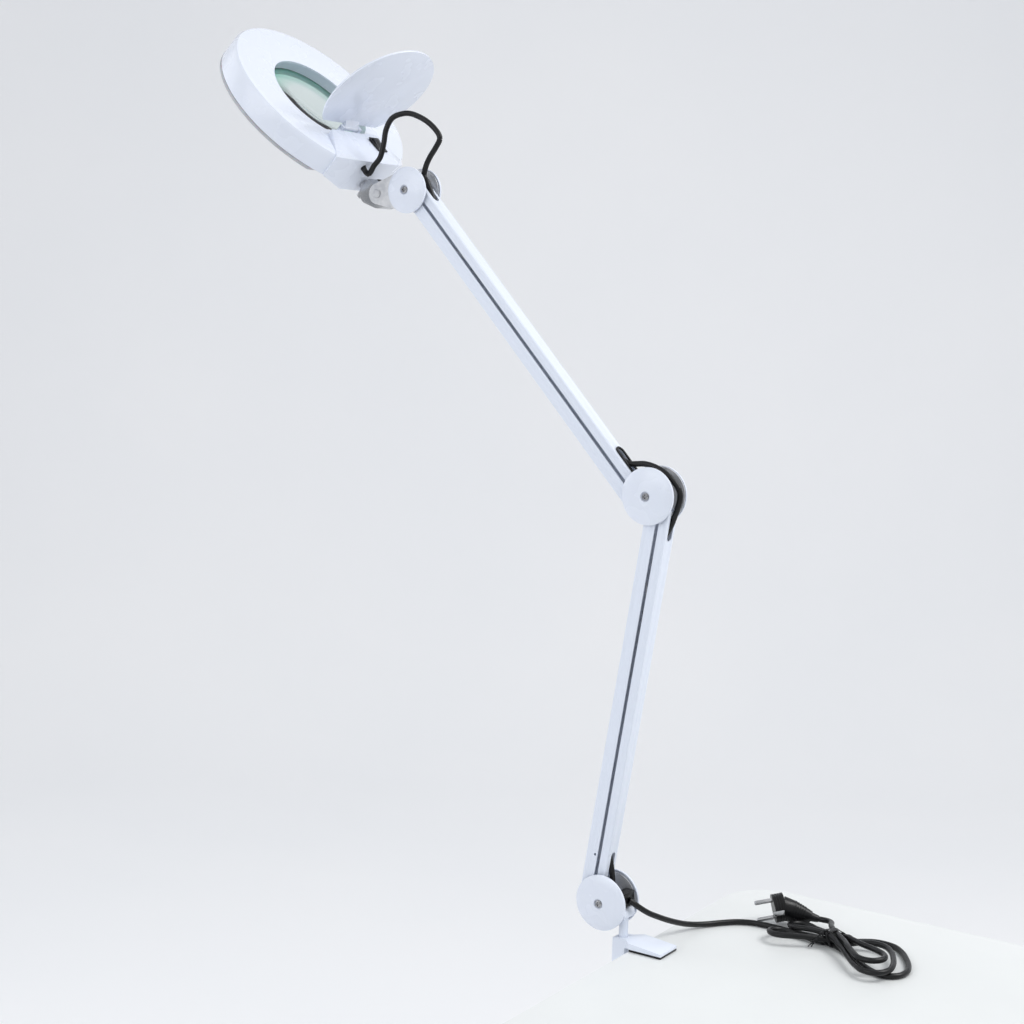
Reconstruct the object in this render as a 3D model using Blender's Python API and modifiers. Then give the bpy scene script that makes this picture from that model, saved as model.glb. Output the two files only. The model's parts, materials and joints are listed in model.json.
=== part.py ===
"""Clamp-on magnifying lamp: ring-light head with a flip cover, two parallelogram
arms of nested U channels, and a desk clamp.

Frame: +Z up, +X from the clamp's spine towards the tip of its jaw (into the desk),
origin at the centre of the upper jaw pad's underside.  The functions take
millimetres and the objects are in metres.
"""
import math

import bmesh
import bpy
from mathutils import Matrix, Vector

MM = 0.001

# ---------------------------------------------------------------- dimensions
BASE = (-55.15, 42.9)       # knuckle centres in the XZ plane
ELBOW = (-18.15, 467.7)
HEAD = (-325.65, 770.2)
ARM = 412.7                 # pivot to pivot
PIN_GAP = 14.0              # between the two pivots at each end of an arm
LOWER_DEG = 81.373          # direction of the lower arm above +X
UPPER_DEG = 133.130
OUTER_BASE = (-21.8, 0.5)   # outer pivots, from their knuckle's centre
OUTER_ELBOW = (-23.4, -6.6)
SHEET = 1.0                 # channel sheet
PLATE_IN, PLATE_OUT = 10.9, 12.5
COVER_IN = 12.8
COVER_R, HEAD_COVER_R = 29.0, 24.6
PIN_R, HOLE_R = 2.5, 2.75

POST_X, POST_R = -34.9, 4.8
POST_EYE_Z = 33.0

RING = (-458.65, 871.4)     # centre of the head's opening, at its top edge
RING_TILT = 45.5            # slope of the head's plane below +X
OPENING_R, RING_R = 60.5, 112.6
TILT_PIN = (138.8, -8.1)    # in the head's own x, s
STUD_S = -20.0
HINGE = (53.0, 7.0)
COVER_DISC_R, COVER_OPEN = 67.4, 97.1
LENS_R = 63.5

CABLE_R = 3.0
GAP = 0.3

# ---------------------------------------------------------------- scene
for old in list(bpy.data.objects):
    bpy.data.objects.remove(old, do_unlink=True)
PARTS = bpy.data.collections.new("magnifying_lamp")
CUTTERS = bpy.data.collections.new("cutters")
bpy.context.scene.collection.children.link(PARTS)
bpy.context.scene.collection.children.link(CUTTERS)

FINISHES = {
    "white_plastic": ((0.80, 0.84, 0.93, 1), 0.28, 0.0),
    "white_paint": ((0.78, 0.83, 0.93, 1), 0.35, 0.0),
    "zinc": ((0.62, 0.62, 0.63, 1), 0.33, 1.0),
    "chrome": ((0.78, 0.78, 0.79, 1), 0.12, 1.0),
    "black_plastic": ((0.015, 0.015, 0.016, 1), 0.35, 0.0),
    "black_rubber": ((0.012, 0.012, 0.013, 1), 0.6, 0.0),
    "glass": ((0.75, 0.92, 0.86, 1), 0.03, 0.0),
    "diffuser": ((0.72, 0.74, 0.78, 1), 0.5, 0.0),
    "board": ((0.85, 0.85, 0.80, 1), 0.5, 0.0),
    "brass": ((0.75, 0.58, 0.30, 1), 0.3, 1.0),
}


def finish(name):
    mat = bpy.data.materials.get(name)
    if mat is None:
        mat = bpy.data.materials.new(name)
        mat.use_nodes = True
        shader = mat.node_tree.nodes["Principled BSDF"]
        colour, rough, metal = FINISHES[name]
        shader.inputs["Base Color"].default_value = colour
        shader.inputs["Roughness"].default_value = rough
        shader.inputs["Metallic"].default_value = metal
        mat.diffuse_color = colour
    return mat


def unit(deg):
    return Vector((math.cos(math.radians(deg)), 0, math.sin(math.radians(deg))))


def add(point, direction, amount):
    return (point[0] + direction.x * amount, point[1] + direction.z * amount)


def frame(origin, ex, ey, ez):
    """Matrix whose columns are the three directions, at an origin in mm."""
    m = Matrix.Identity(4)
    for i, axis in enumerate((ex, ey, ez)):
        for j in range(3):
            m[j][i] = axis[j]
    for j in range(3):
        m[j][3] = origin[j] * MM
    return m


def along(start, end):
    """A frame at start whose Z runs to end."""
    ez = (Vector(end) - Vector(start)).normalized()
    side = Vector((0, 1, 0)) if abs(ez.y) < 0.9 else Vector((1, 0, 0))
    ex = side.cross(ez).normalized()
    return frame(start, ex, ez.cross(ex), ez)


def place(ob, name, look, matrix=None, coll=None):
    ob.name = name
    if ob.data.name != name:
        ob.data.name = name
    if matrix is not None:
        ob.matrix_world = matrix
    (coll or PARTS).objects.link(ob)
    if coll is CUTTERS:
        ob.hide_render = True
        ob.display_type = "WIRE"
    else:
        ob.data.materials.append(finish(look))
    return ob


def smooth(ob, angle=35):
    ob.data.shade_smooth()
    ob.data.set_sharp_from_angle(angle=math.radians(angle))


# every side-view outline is drawn in the XZ plane: local X, Y are world X, Z
SIDE = frame((0, 0, 0), Vector((1, 0, 0)), Vector((0, 0, 1)), Vector((0, -1, 0)))


def circle(cx, cy, r, n=20, start=0.0):
    return [(cx + r * math.cos(start + 2 * math.pi * i / n),
             cy + r * math.sin(start + 2 * math.pi * i / n)) for i in range(n)]


def plate(name, look, outlines, thickness, matrix, coll=None, bevel=0.0):
    """A flat outline, with holes, extruded about its plane."""
    data = bpy.data.curves.new(name, "CURVE")
    data.dimensions = "2D"
    data.fill_mode = "BOTH"
    data.extrude = thickness / 2 * MM
    for outline in outlines:
        spline = data.splines.new("POLY")
        spline.points.add(len(outline) - 1)
        for point, (x, y) in zip(spline.points, outline):
            point.co = (x * MM, y * MM, 0, 1)
        spline.use_cyclic_u = True
    ob = bpy.data.objects.new(name, data)
    return place(ob, name, look, matrix, coll)


def side_plate(name, look, outlines, y_mid, thickness, coll=None):
    return plate(name, look, outlines, thickness, Matrix.Translation((0, y_mid * MM, 0)) @ SIDE, coll)


def to_mesh(ob):
    """The curve object remade as a welded mesh, so that it takes Booleans."""
    bpy.context.view_layer.update()
    graph = bpy.context.evaluated_depsgraph_get()
    name, colls, matrix, look = ob.name, list(ob.users_collection), ob.matrix_world.copy(), ob.data.materials[:]
    mesh = bpy.data.meshes.new_from_object(ob.evaluated_get(graph))
    bm = bmesh.new()
    bm.from_mesh(mesh)
    bmesh.ops.remove_doubles(bm, verts=bm.verts, dist=0.00001)
    bm.to_mesh(mesh)
    bm.free()
    hide, display = ob.hide_render, ob.display_type
    bpy.data.objects.remove(ob, do_unlink=True)
    new = bpy.data.objects.new(name, mesh)
    new.matrix_world = matrix
    new.hide_render, new.display_type = hide, display
    for coll in colls:
        coll.objects.link(new)
    if not mesh.materials:
        for mat in look:
            mesh.materials.append(mat)
    return new


def turned(name, look, profile, start, end, steps=24, coll=None):
    """A profile of (radius, height), outer side first from the top down, turned about start-end."""
    mesh = bpy.data.meshes.new(name)
    bm = bmesh.new()
    verts = [bm.verts.new((r * MM, 0, h * MM)) for r, h in profile]
    for a, b in zip(verts, verts[1:]):
        bm.edges.new((a, b))
    if profile[0][0] > 1e-6:
        bm.edges.new((verts[-1], verts[0]))
    bm.to_mesh(mesh)
    bm.free()
    ob = place(bpy.data.objects.new(name, mesh), name, look, along(start, end), coll)
    screw = ob.modifiers.new("turn", "SCREW")
    screw.steps = screw.render_steps = steps
    screw.use_merge_vertices = True
    screw.merge_threshold = 0.00001
    screw.use_normal_calculate = False
    screw.use_smooth_shade = True
    return ob


def rod(name, look, start, end, r, steps=16, coll=None):
    length = (Vector(end) - Vector(start)).length
    return turned(name, look, [(0, length), (r, length), (r, 0), (0, 0)], start, end, steps, coll)


def box(name, look, lo, hi, matrix=None, coll=None):
    mesh = bpy.data.meshes.new(name)
    bm = bmesh.new()
    bmesh.ops.create_cube(bm, size=1.0)
    size = [(b - a) * MM for a, b in zip(lo, hi)]
    mid = [(a + b) / 2 * MM for a, b in zip(lo, hi)]
    bmesh.ops.transform(bm, matrix=Matrix.Translation(mid) @ Matrix.Diagonal((*size, 1)), verts=bm.verts)
    bm.to_mesh(mesh)
    bm.free()
    return place(bpy.data.objects.new(name, mesh), name, look, matrix or Matrix.Identity(4), coll)


def hull(name, look, points, matrix=None, coll=None):
    mesh = bpy.data.meshes.new(name)
    bm = bmesh.new()
    for p in points:
        bm.verts.new([c * MM for c in p])
    made = bmesh.ops.convex_hull(bm, input=bm.verts)
    loose = [v for v in made["geom_interior"] if isinstance(v, bmesh.types.BMVert)]
    bmesh.ops.delete(bm, geom=loose, context="VERTS")
    bmesh.ops.dissolve_limit(bm, angle_limit=0.001, verts=bm.verts, edges=bm.edges)
    bmesh.ops.recalc_face_normals(bm, faces=bm.faces)
    bm.to_mesh(mesh)
    bm.free()
    return place(bpy.data.objects.new(name, mesh), name, look, matrix or Matrix.Identity(4), coll)


def boolean(ob, other, operation="DIFFERENCE", solver="EXACT"):
    mod = ob.modifiers.new(other.name, "BOOLEAN")
    mod.operation = operation
    mod.solver = solver
    mod.object = other
    return ob


def catmull(points, spacing):
    """Points read every `spacing` mm from a smooth curve through the given ones."""
    pts = [Vector(p) for p in points]
    pts = [pts[0] * 2 - pts[1]] + pts + [pts[-1] * 2 - pts[-2]]
    fine = []
    for a, b, c, d in zip(pts, pts[1:], pts[2:], pts[3:]):
        for k in range(20):
            t = k / 20
            fine.append(0.5 * ((2 * b) + (c - a) * t + (2 * a - 5 * b + 4 * c - d) * t * t
                               + (3 * b - a - 3 * c + d) * t ** 3))
    fine.append(pts[-2])
    total = sum((q - p).length for p, q in zip(fine, fine[1:]))
    count = max(2, round(total / spacing))
    step, out, walked, target = total / count, [fine[0]], 0.0, total / count
    for p, q in zip(fine, fine[1:]):
        seg = (q - p).length
        while walked + seg >= target - 1e-9 and len(out) < count:
            out.append(p.lerp(q, (target - walked) / seg))
            target += step
        walked += seg
    out.append(fine[-1])
    return out


def tube(name, look, points, r, radii=None, resolution=2, spacing=None):
    data = bpy.data.curves.new(name, "CURVE")
    data.dimensions = "3D"
    data.bevel_depth = r * MM
    data.bevel_resolution = resolution
    data.use_fill_caps = True
    pts = catmull(points, spacing) if spacing else [Vector(p) for p in points]
    spline = data.splines.new("POLY")
    spline.points.add(len(pts) - 1)
    for i, (point, p) in enumerate(zip(spline.points, pts)):
        point.co = (p.x * MM, p.y * MM, p.z * MM, 1)
        if radii:
            point.radius = radii[i] / r
    return place(bpy.data.objects.new(name, data), name, look)


# ---------------------------------------------------------------- pivots
U1, U2 = unit(LOWER_DEG), unit(UPPER_DEG)
W1, W2 = unit(LOWER_DEG - 90), unit(UPPER_DEG - 90)   # towards the inner channel's side
B_OUT = (BASE[0] + OUTER_BASE[0], BASE[1] + OUTER_BASE[1])
B_IN = add(B_OUT, W1, PIN_GAP)
E_OUT = add(B_OUT, U1, ARM)
E_IN = add(B_IN, U1, ARM)
F_OUT = (ELBOW[0] + OUTER_ELBOW[0], ELBOW[1] + OUTER_ELBOW[1])
F_IN = add(F_OUT, W2, PIN_GAP)
G_OUT = add(F_OUT, U2, ARM)
G_IN = add(F_IN, U2, ARM)

HX = unit(-RING_TILT)                 # head frame: x towards the neck, y, s up out of the opening
HN = unit(90 - RING_TILT)
HEAD_FRAME = frame((RING[0], 0, RING[1]), HX, Vector((0, 1, 0)), HN)


def on_head(x, s):
    return (RING[0] + HX.x * x + HN.x * s, RING[1] + HX.z * x + HN.z * s)


def at_head(x, y, s):
    px, pz = on_head(x, s)
    return (px, y, pz)


TILT = on_head(*TILT_PIN)


# ---------------------------------------------------------------- clamp
SPINE = (-42.4, -27.9)
JAW_TIP, JAW_Y, SPINE_Y = 18.65, 17.0, 9.0

arm_profile = [(SPINE[0], 7.5), (-26.0, 8.8), (-18.0, 8.6), (JAW_TIP, 5.2), (JAW_TIP, 2.3),
               (-20.0, 2.3), (-27.9, -1.0), (SPINE[1], -64.0), (-22.0, -69.0), (-9.0, -69.0),
               (-9.0, -78.0), (SPINE[0] + 5, -78.0), (SPINE[0], -73.0)]
clamp = to_mesh(side_plate("clamp_frame", "white_paint", [arm_profile], 0, 2 * JAW_Y))
plan = [(SPINE[0] - 1, -SPINE_Y), (-27.0, -SPINE_Y), (-18.65, -JAW_Y), (JAW_TIP + 1, -JAW_Y),
        (JAW_TIP + 1, JAW_Y), (-18.65, JAW_Y), (-27.0, SPINE_Y), (SPINE[0] - 1, SPINE_Y)]
boolean(clamp, to_mesh(plate("clamp_plan", "", [plan], 200, Matrix.Identity(4), CUTTERS)), "INTERSECT")
boolean(clamp, turned("clamp_boss", "", [(0, -60), (11, -60), (12, -62), (12, -79), (11, -80), (0, -80)],
                      (0, 0, 0), (0, 0, 1), 24, CUTTERS), "UNION")
boolean(clamp, rod("clamp_thread_bore", "", (0, 0, -90), (0, 0, -50), 5.3, 24, CUTTERS))
boolean(clamp, rod("clamp_post_bore", "", (POST_X, 0, -34), (POST_X, 0, 20), POST_R + 0.3, 24, CUTTERS))

box("upper_jaw_pad", "black_rubber", (-JAW_TIP, -JAW_Y + 0.1, 0), (JAW_TIP, JAW_Y - 0.1, 2.0))

turned("clamp_screw", "zinc", [(0, -31), (4, -31), (5, -32.5), (5, -116), (4, -117.5), (0, -117.5)],
       (0, 0, 0), (0, 0, 1), 20)
lobes = []
for i in range(48):
    a = 2 * math.pi * i / 48
    r = 19.0 + 1.6 * math.cos(8 * a)
    lobes.append((r * math.cos(a), r * math.sin(a)))
knob = to_mesh(plate("clamp_knob", "black_plastic", [lobes], 12.0, Matrix.Translation((0, 0, -114 * MM))))
boolean(knob, turned("knob_hub", "", [(0, -100), (8, -100), (9, -102), (9, -116), (0, -116)],
                     (0, 0, 0), (0, 0, 1), 24, CUTTERS), "UNION")
boolean(knob, rod("knob_bore", "", (0, 0, -117.8), (0, 0, -90), 5.3, 20, CUTTERS))
turned("pressure_pad", "zinc", [(0, -25), (15, -25), (16, -26), (16, -28.5), (7.5, -30), (7.5, -36.5),
                                (5.3, -36.5), (5.3, -30.7), (0, -30.7)], (0, 0, 0), (0, 0, 1), 28)

# ---------------------------------------------------------------- swivel post and base knuckle
post = rod("swivel_post", "white_paint", (POST_X, 0, -32), (POST_X, 0, POST_EYE_Z), POST_R, 20)
boolean(post, rod("post_eye", "", (POST_X, -10.6, POST_EYE_Z), (POST_X, 10.6, POST_EYE_Z), 6.5, 24, CUTTERS), "UNION")
boolean(post, rod("post_eye_bore", "", (POST_X, -12, POST_EYE_Z), (POST_X, 12, POST_EYE_Z), HOLE_R, 16, CUTTERS))


def pin(name, look, xz, half, head_r=4.0, head=1.3, r=PIN_R, steps=10):
    """A headed pin across the knuckle, upset at both ends."""
    a = (xz[0], -half - head, xz[1])
    b = (xz[0], half + head, xz[1])
    n = 2 * (half + head)
    return turned(name, look, [(0, n), (head_r * 0.8, n), (head_r, n - head * 0.5), (head_r, n - head),
                               (r, n - head), (r, head), (head_r, head), (head_r, head * 0.5),
                               (head_r * 0.8, 0), (0, 0)], a, b, steps)


def hole(xz, r=HOLE_R, n=10):
    return circle(xz[0], xz[1], r, n)


def disc_pair(prefix, xz, outline, holes):
    for side, label in ((-1, "front"), (1, "rear")):
        side_plate(f"{prefix}_plate_{label}", "zinc", [outline] + holes, side * (PLATE_IN + PLATE_OUT) / 2,
                   PLATE_OUT - PLATE_IN)


def cover(name, xz, side, radius, bored):
    """A shallow domed cap; `side` is -1 at the front."""
    k = radius
    prof = [(k, 14.9), (k, COVER_IN), (k - 1.0, COVER_IN), (k - 1.2, 14.0), (k * 0.55, 16.4),
            (4.1, 16.8), (3.9, COVER_IN)]
    top = [(4.4, 17.6), (5.2, 19.4), (k * 0.62, 18.3), (k * 0.9, 16.6)]
    if bored:
        prof = [(2.35, 17.6)] + top + prof + [(2.35, COVER_IN)]
    else:
        prof = [(0, 17.6)] + top + prof + [(0, COVER_IN)]
    start = (xz[0], 0, xz[1])
    return turned(name, "white_plastic", prof, start, (xz[0], side, xz[1]), 22)


def cover_screw(name, xz, side, tail):
    return turned(name, "zinc", [(0, 20.0), (2.6, 20.0), (3.8, 18.9), (3.8, 17.9), (2.0, 17.9), (2.0, tail), (0, tail)],
                  (xz[0], 0, xz[1]), (xz[0], side, xz[1]), 16)


SCREW_HOLE = 2.35
disc_pair("base", BASE, circle(*BASE, 26.5, 32),
          [hole(B_OUT), hole(B_IN), hole((POST_X, POST_EYE_Z)), hole(BASE, SCREW_HOLE)])
cover("base_cover_front", BASE, -1, COVER_R, True)
cover("base_cover_rear", BASE, 1, COVER_R, False)
cover_screw("base_screw", BASE, -1, 10.9)
pin("base_rivet_outer", "zinc", B_OUT, 12.6, 3.4)
pin("base_rivet_inner", "zinc", B_IN, 12.6, 3.4)
pin("post_bolt", "zinc", (POST_X, POST_EYE_Z), 12.6, 3.9)

CLIP = (-35.1, 48.3)
clip = box("cord_clip", "black_rubber", (CLIP[0] - 5.6, -10.6, CLIP[1] - 7.4), (CLIP[0] + 5.6, 10.6, CLIP[1] + 7.6))
boolean(clip, box("clip_corner", "", (CLIP[0] - 20, -20, 30), (CLIP[0] - 4.5, 20, 42.5), None, CUTTERS))
boolean(clip, rod("clip_bore", "", (-50.0, 0, 49.2), (-20.0, 0, 45.4), CABLE_R + 0.5, 16, CUTTERS))


# ---------------------------------------------------------------- arms
def channel(name, origin, u, w, half, web_side, web_at, edge_at, length, cuts):
    """A U channel along u: its web lies at web_at on the w axis and its flanges reach edge_at."""
    inner_web = web_at - web_side * SHEET
    outline = [(edge_at, -half), (web_at - web_side * 1.0, -half), (web_at, -half + 1.0), (web_at, half - 1.0),
               (web_at - web_side * 1.0, half), (edge_at, half), (edge_at, half - SHEET), (inner_web, half - SHEET),
               (inner_web, -half + SHEET), (edge_at, -half + SHEET)]
    mid = add(origin, u, length / 2)
    # local X along w, local Y along world Y, local Z along the arm
    z_axis = w.cross(Vector((0, 1, 0)))
    m = frame((mid[0], 0, mid[1]), w, Vector((0, 1, 0)), z_axis)
    ob = to_mesh(plate(name, "white_paint", [outline], length + 12.0, m))
    for cutter in cuts:
        boolean(ob, cutter, solver="MANIFOLD")
    return ob


def across(name, xz, r=HOLE_R, steps=14):
    return rod(name, "", (xz[0], -14, xz[1]), (xz[0], 14, xz[1]), r, steps, CUTTERS)


def slot(name, origin, u, w, s0, s1, half_y, at):
    """A round-ended slot through a web, s0 to s1 along the arm."""
    r = half_y
    pts = [(s1 - r + r * math.sin(a), r * math.cos(a)) for a in [math.pi * i / 8 for i in range(9)]]
    pts += [(s0 + r - r * math.sin(a), -r * math.cos(a)) for a in [math.pi * i / 8 for i in range(9)]]
    mid = add(origin, w, at)
    return to_mesh(plate(name, "", [pts], 6.0, frame((mid[0], 0, mid[1]), u, Vector((0, 1, 0)), u.cross(Vector((0, 1, 0)))), CUTTERS))


WEB_IN, EDGE_IN = 5.2, -4.5        # inner channel, from its pivot line
WEB_OUT, EDGE_OUT = -7.0, 6.5      # outer channel, from its pivot line

channel("lower_outer_channel", B_OUT, U1, W1, 10.5, -1, WEB_OUT, EDGE_OUT, ARM,
        [across("cut_b_out", B_OUT), across("cut_e_out", E_OUT),
         rod("cut_dot", "", (add(add(B_OUT, U1, 49), W1, 3.6)[0], -14, add(add(B_OUT, U1, 49), W1, 3.6)[1]),
             (add(add(B_OUT, U1, 49), W1, 3.6)[0], 0, add(add(B_OUT, U1, 49), W1, 3.6)[1]), 1.4, 12, CUTTERS)])
channel("lower_inner_channel", B_IN, U1, W1, 9.0, 1, WEB_IN, EDGE_IN, ARM,
        [across("cut_b_in", B_IN), across("cut_e_in", E_IN),
         slot("cut_low_exit", B_IN, U1, W1, 22, 54, 4.0, WEB_IN),
         slot("cut_low_entry", B_IN, U1, W1, ARM - 26, ARM + 20, 4.6, WEB_IN)])
channel("upper_outer_channel", F_OUT, U2, W2, 10.5, -1, WEB_OUT, EDGE_OUT, ARM,
        [across("cut_f_out", F_OUT), across("cut_g_out", G_OUT)])
channel("upper_inner_channel", F_IN, U2, W2, 9.0, 1, WEB_IN, EDGE_IN, ARM,
        [across("cut_f_in", F_IN), across("cut_g_in", G_IN),
         slot("cut_up_entry", F_IN, U2, W2, 18, 50, 4.2, WEB_IN),
         slot("cut_up_exit", F_IN, U2, W2, ARM - 22, ARM + 20, 4.6, WEB_IN)])


def grommet(name, origin, u, w, s0, s1):
    """An oval rubber edge guard lying on the web around its slot."""
    def oval(a, b, r):
        pts = [(b - r + r * math.sin(t), r * math.cos(t)) for t in [math.pi * i / 6 for i in range(7)]]
        return pts + [(a + r - r * math.sin(t), -r * math.cos(t)) for t in [math.pi * i / 6 for i in range(7)]]
    mid = add(origin, w, WEB_IN + 0.3 + 0.7)
    return plate(name, "black_rubber", [oval(s0, s1, 6.2), oval(s0 + 2.4, s1 - 2.4, 3.8)], 1.4,
                 frame((mid[0], 0, mid[1]), u, Vector((0, 1, 0)), u.cross(Vector((0, 1, 0)))))


grommet("cable_grommet", F_IN, U2, W2, 15.4, 52.6)

# ---------------------------------------------------------------- elbow knuckle
disc_pair("elbow", ELBOW, circle(*ELBOW, 28.2, 32),
          [hole(E_OUT), hole(E_IN), hole(F_OUT), hole(F_IN), hole(ELBOW, SCREW_HOLE)])
cover("elbow_cover_front", ELBOW, -1, COVER_R, True)
cover("elbow_cover_rear", ELBOW, 1, COVER_R, True)
pin("elbow_rivet_lower_outer", "zinc", E_OUT, 12.6, 3.4)
pin("elbow_rivet_lower_inner", "zinc", E_IN, 12.6, 2.7)
pin("elbow_rivet_upper_outer", "zinc", F_OUT, 12.6, 2.85)
pin("elbow_rivet_upper_inner", "zinc", F_IN, 12.6, 3.4)
turned("elbow_bolt", "zinc", [(0, 20), (2.6, 20), (3.8, 18.9), (3.8, 17.9), (2, 17.9), (2, -17.9), (3.8, -17.9),
                              (3.8, -18.9), (2.6, -20), (0, -20)], (ELBOW[0], 0, ELBOW[1]),
       (ELBOW[0], -1, ELBOW[1]), 16)

# ---------------------------------------------------------------- head link and tilt block
def belt(c0, r0, c1, r1, n=20):
    """Outline of a belt round two circles."""
    d = Vector((c1[0] - c0[0], c1[1] - c0[1]))
    base = math.atan2(d.y, d.x)
    off = math.acos((r0 - r1) / d.length)
    pts = []
    for i in range(n + 1):
        a = base + off + (2 * math.pi - 2 * off) * i / n
        pts.append((c0[0] + r0 * math.cos(a), c0[1] + r0 * math.sin(a)))
    for i in range(n // 2 + 1):
        a = base - off + 2 * off * i / (n // 2)
        pts.append((c1[0] + r1 * math.cos(a), c1[1] + r1 * math.sin(a)))
    return pts


link_outline = belt(HEAD, 23.0, TILT, 11.0)
disc_pair("head_link", HEAD, link_outline, [hole(G_OUT), hole(G_IN), hole(TILT, 3.3), hole(HEAD, SCREW_HOLE)])
cover("head_cover_front", HEAD, -1, HEAD_COVER_R, True)
cover("head_cover_rear", HEAD, 1, HEAD_COVER_R, False)
cover_screw("head_screw", HEAD, -1, 10.9)
pin("head_rivet_outer", "zinc", G_OUT, 12.6, 3.4)
pin("head_rivet_inner", "zinc", G_IN, 12.6, 3.4)
pin("tilt_pin", "zinc", TILT, 12.8, 4.6, 2.4, 3.0, 20)

block_outline = belt(TILT_PIN, 15.5, (129.0, STUD_S), 9.0)
block = to_mesh(plate("tilt_block", "chrome", [block_outline], 21.2, HEAD_FRAME @ SIDE))
boolean(block, box("tilt_block_flange", "", (117.9, -10.6, -30), (124, 10.6, -6), HEAD_FRAME, CUTTERS), "UNION")
boolean(block, box("tilt_block_trim", "", (90, -20, -60), (117.9, 20, 60), HEAD_FRAME, CUTTERS))
boolean(block, rod("tilt_stud", "", at_head(84, 0, STUD_S), at_head(125, 0, STUD_S), 3.0, 16, CUTTERS), "UNION")
boolean(block, across("tilt_bore", TILT, 3.3, 20))

nut = plate("swivel_nut", "chrome", [[((5.75 + 0.2 * (i % 2)) * math.cos(math.pi * i / 16), (5.75 + 0.2 * (i % 2)) * math.sin(math.pi * i / 16)) for i in range(32)],
                                     circle(0, 0, 3.35, 16)], 6.6,
            along(at_head(114.0, 0, STUD_S), at_head(115.0, 0, STUD_S)))

# ---------------------------------------------------------------- head
A0, A1 = at_head(0, 0, 0), at_head(0, 0, 1)
shell = turned("head_shell", "white_plastic",
               [(OPENING_R, 0.0), (104.5, 3.5), (109.5, 2.4), (112.0, -1.5), (RING_R, -24.0), (110.1, -24.0),
                (109.6, -2.6), (104.0, 0.7), (67.0, -2.4), (66.4, -18.0), (64.0, -18.0), (64.0, -2.7), (OPENING_R, -2.4)],
               A0, A1, 48)
boolean(shell, box("neck_face_trim", "", (106.5, -34, -60), (130, 34, 60), HEAD_FRAME, CUTTERS))
# flat land under the cover's hinge
boolean(shell, to_mesh(plate("hinge_land", "", [[(51, -34), (64.5, -16), (64.5, 16), (51, 34)]], 2.4,
                             HEAD_FRAME @ Matrix.Translation((0, 0, -1.2 * MM)), CUTTERS)), "UNION")
neck = []
for y in (-1, 1):
    neck += [(60, 37 * y, 8.0), (79, 39 * y, 9.2), (97, 50 * y, 8.5), (99.5, 57 * y, 3.0), (110, 32 * y, 10.6),
             (60, 37 * y, -0.5), (97, 50 * y, -24.0), (99.5, 57 * y, -24.0), (110, 32 * y, -31.0), (100, 32 * y, -31.0),
             (99.5, 57 * y, -1.0)]
boolean(shell, hull("neck_boss", "", neck, HEAD_FRAME, CUTTERS), "UNION")
boolean(shell, hull("neck_hollow", "", [(x, y, s) for x in (69.5, 96.0) for y in (-33, 33) for s in (-26, -4)]
                    + [(x, y, 5.5) for x in (72, 92) for y in (-8, 8)], HEAD_FRAME, CUTTERS))
boolean(shell, rod("neck_stud_bore", "", at_head(80, 0, STUD_S), at_head(112, 0, STUD_S), 3.5, 16, CUTTERS))
boolean(shell, rod("neck_cord_bore", "", at_head(92, -20, 1.5), at_head(113, -20, 1.5), CABLE_R + 0.6, 16, CUTTERS))
SWITCH = (79.0, 24.0)
boolean(shell, box("switch_pocket", "", (SWITCH[0] - 9.8, SWITCH[1] - 6.8, -5.0), (SWITCH[0] + 9.8, SWITCH[1] + 6.8, 14), HEAD_FRAME, CUTTERS))
for y in (-1, 1):
    boolean(shell, box(f"hinge_ear_{y}", "", (51.0, min(11.4 * y, 16 * y), -1.0), (56.5, max(11.4 * y, 16 * y), 9.6), HEAD_FRAME, CUTTERS), "UNION")
boolean(shell, rod("hinge_bore", "", at_head(HINGE[0], -20, HINGE[1]), at_head(HINGE[0], 20, HINGE[1]), 1.7, 12, CUTTERS))

turned("diffuser_ring", "diffuser", [(60.6, -17.0), (63.2, -17.0), (63.4, -24.4), (112.4, -24.4), (112.9, -25.0), (112.6, -27.8),
                                     (61.0, -27.8)], A0, A1, 48)
boolean(bpy.data.objects["diffuser_ring"], box("diffuser_neck_trim", "", (88.0, -70, -40), (130, 70, -10), HEAD_FRAME, CUTTERS))
lens = [(0, -9.0), (20, -9.45), (40, -10.75), (LENS_R, -13.2), (LENS_R, -16.6), (40, -19.0), (20, -20.3), (0, -20.8)]
turned("lens", "glass", lens, A0, A1, 40)
turned("led_ring", "board", [(72.0, -15.0), (66.9 + 38, -15.0), (66.9 + 38, -16.6), (72.0, -16.6)], A0, A1, 36)
boolean(bpy.data.objects["led_ring"], box("led_ring_trim", "", (60.0, -64, -30), (130, 64, -5), HEAD_FRAME, CUTTERS))

TOP = 9.9
switch = box("switch_frame", "black_plastic", (SWITCH[0] - 9.5, SWITCH[1] - 6.5, -4.0), (SWITCH[0] + 9.5, SWITCH[1] + 6.5, TOP + 1), HEAD_FRAME)
boolean(switch, box("switch_flange", "", (SWITCH[0] - 10.5, SWITCH[1] - 7.5, TOP), (SWITCH[0] + 10.5, SWITCH[1] + 7.5, TOP + 1.6), HEAD_FRAME, CUTTERS), "UNION")
boolean(switch, box("switch_well", "", (SWITCH[0] - 8.6, SWITCH[1] - 5.4, TOP - 5.4), (SWITCH[0] + 8.6, SWITCH[1] + 5.4, TOP + 5), HEAD_FRAME, CUTTERS))
rocker_points = []
for y in (SWITCH[1] - 5.0, SWITCH[1] + 5.0):
    rocker_points += [(SWITCH[0] + x, y, TOP + s) for x, s in ((-8.0, 3.6), (-0.5, 1.9), (8.0, 1.3), (7.4, -1.2), (0, -4.3), (-7.4, -1.2))]
hull("switch_rocker", "black_plastic", rocker_points, HEAD_FRAME)

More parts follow.
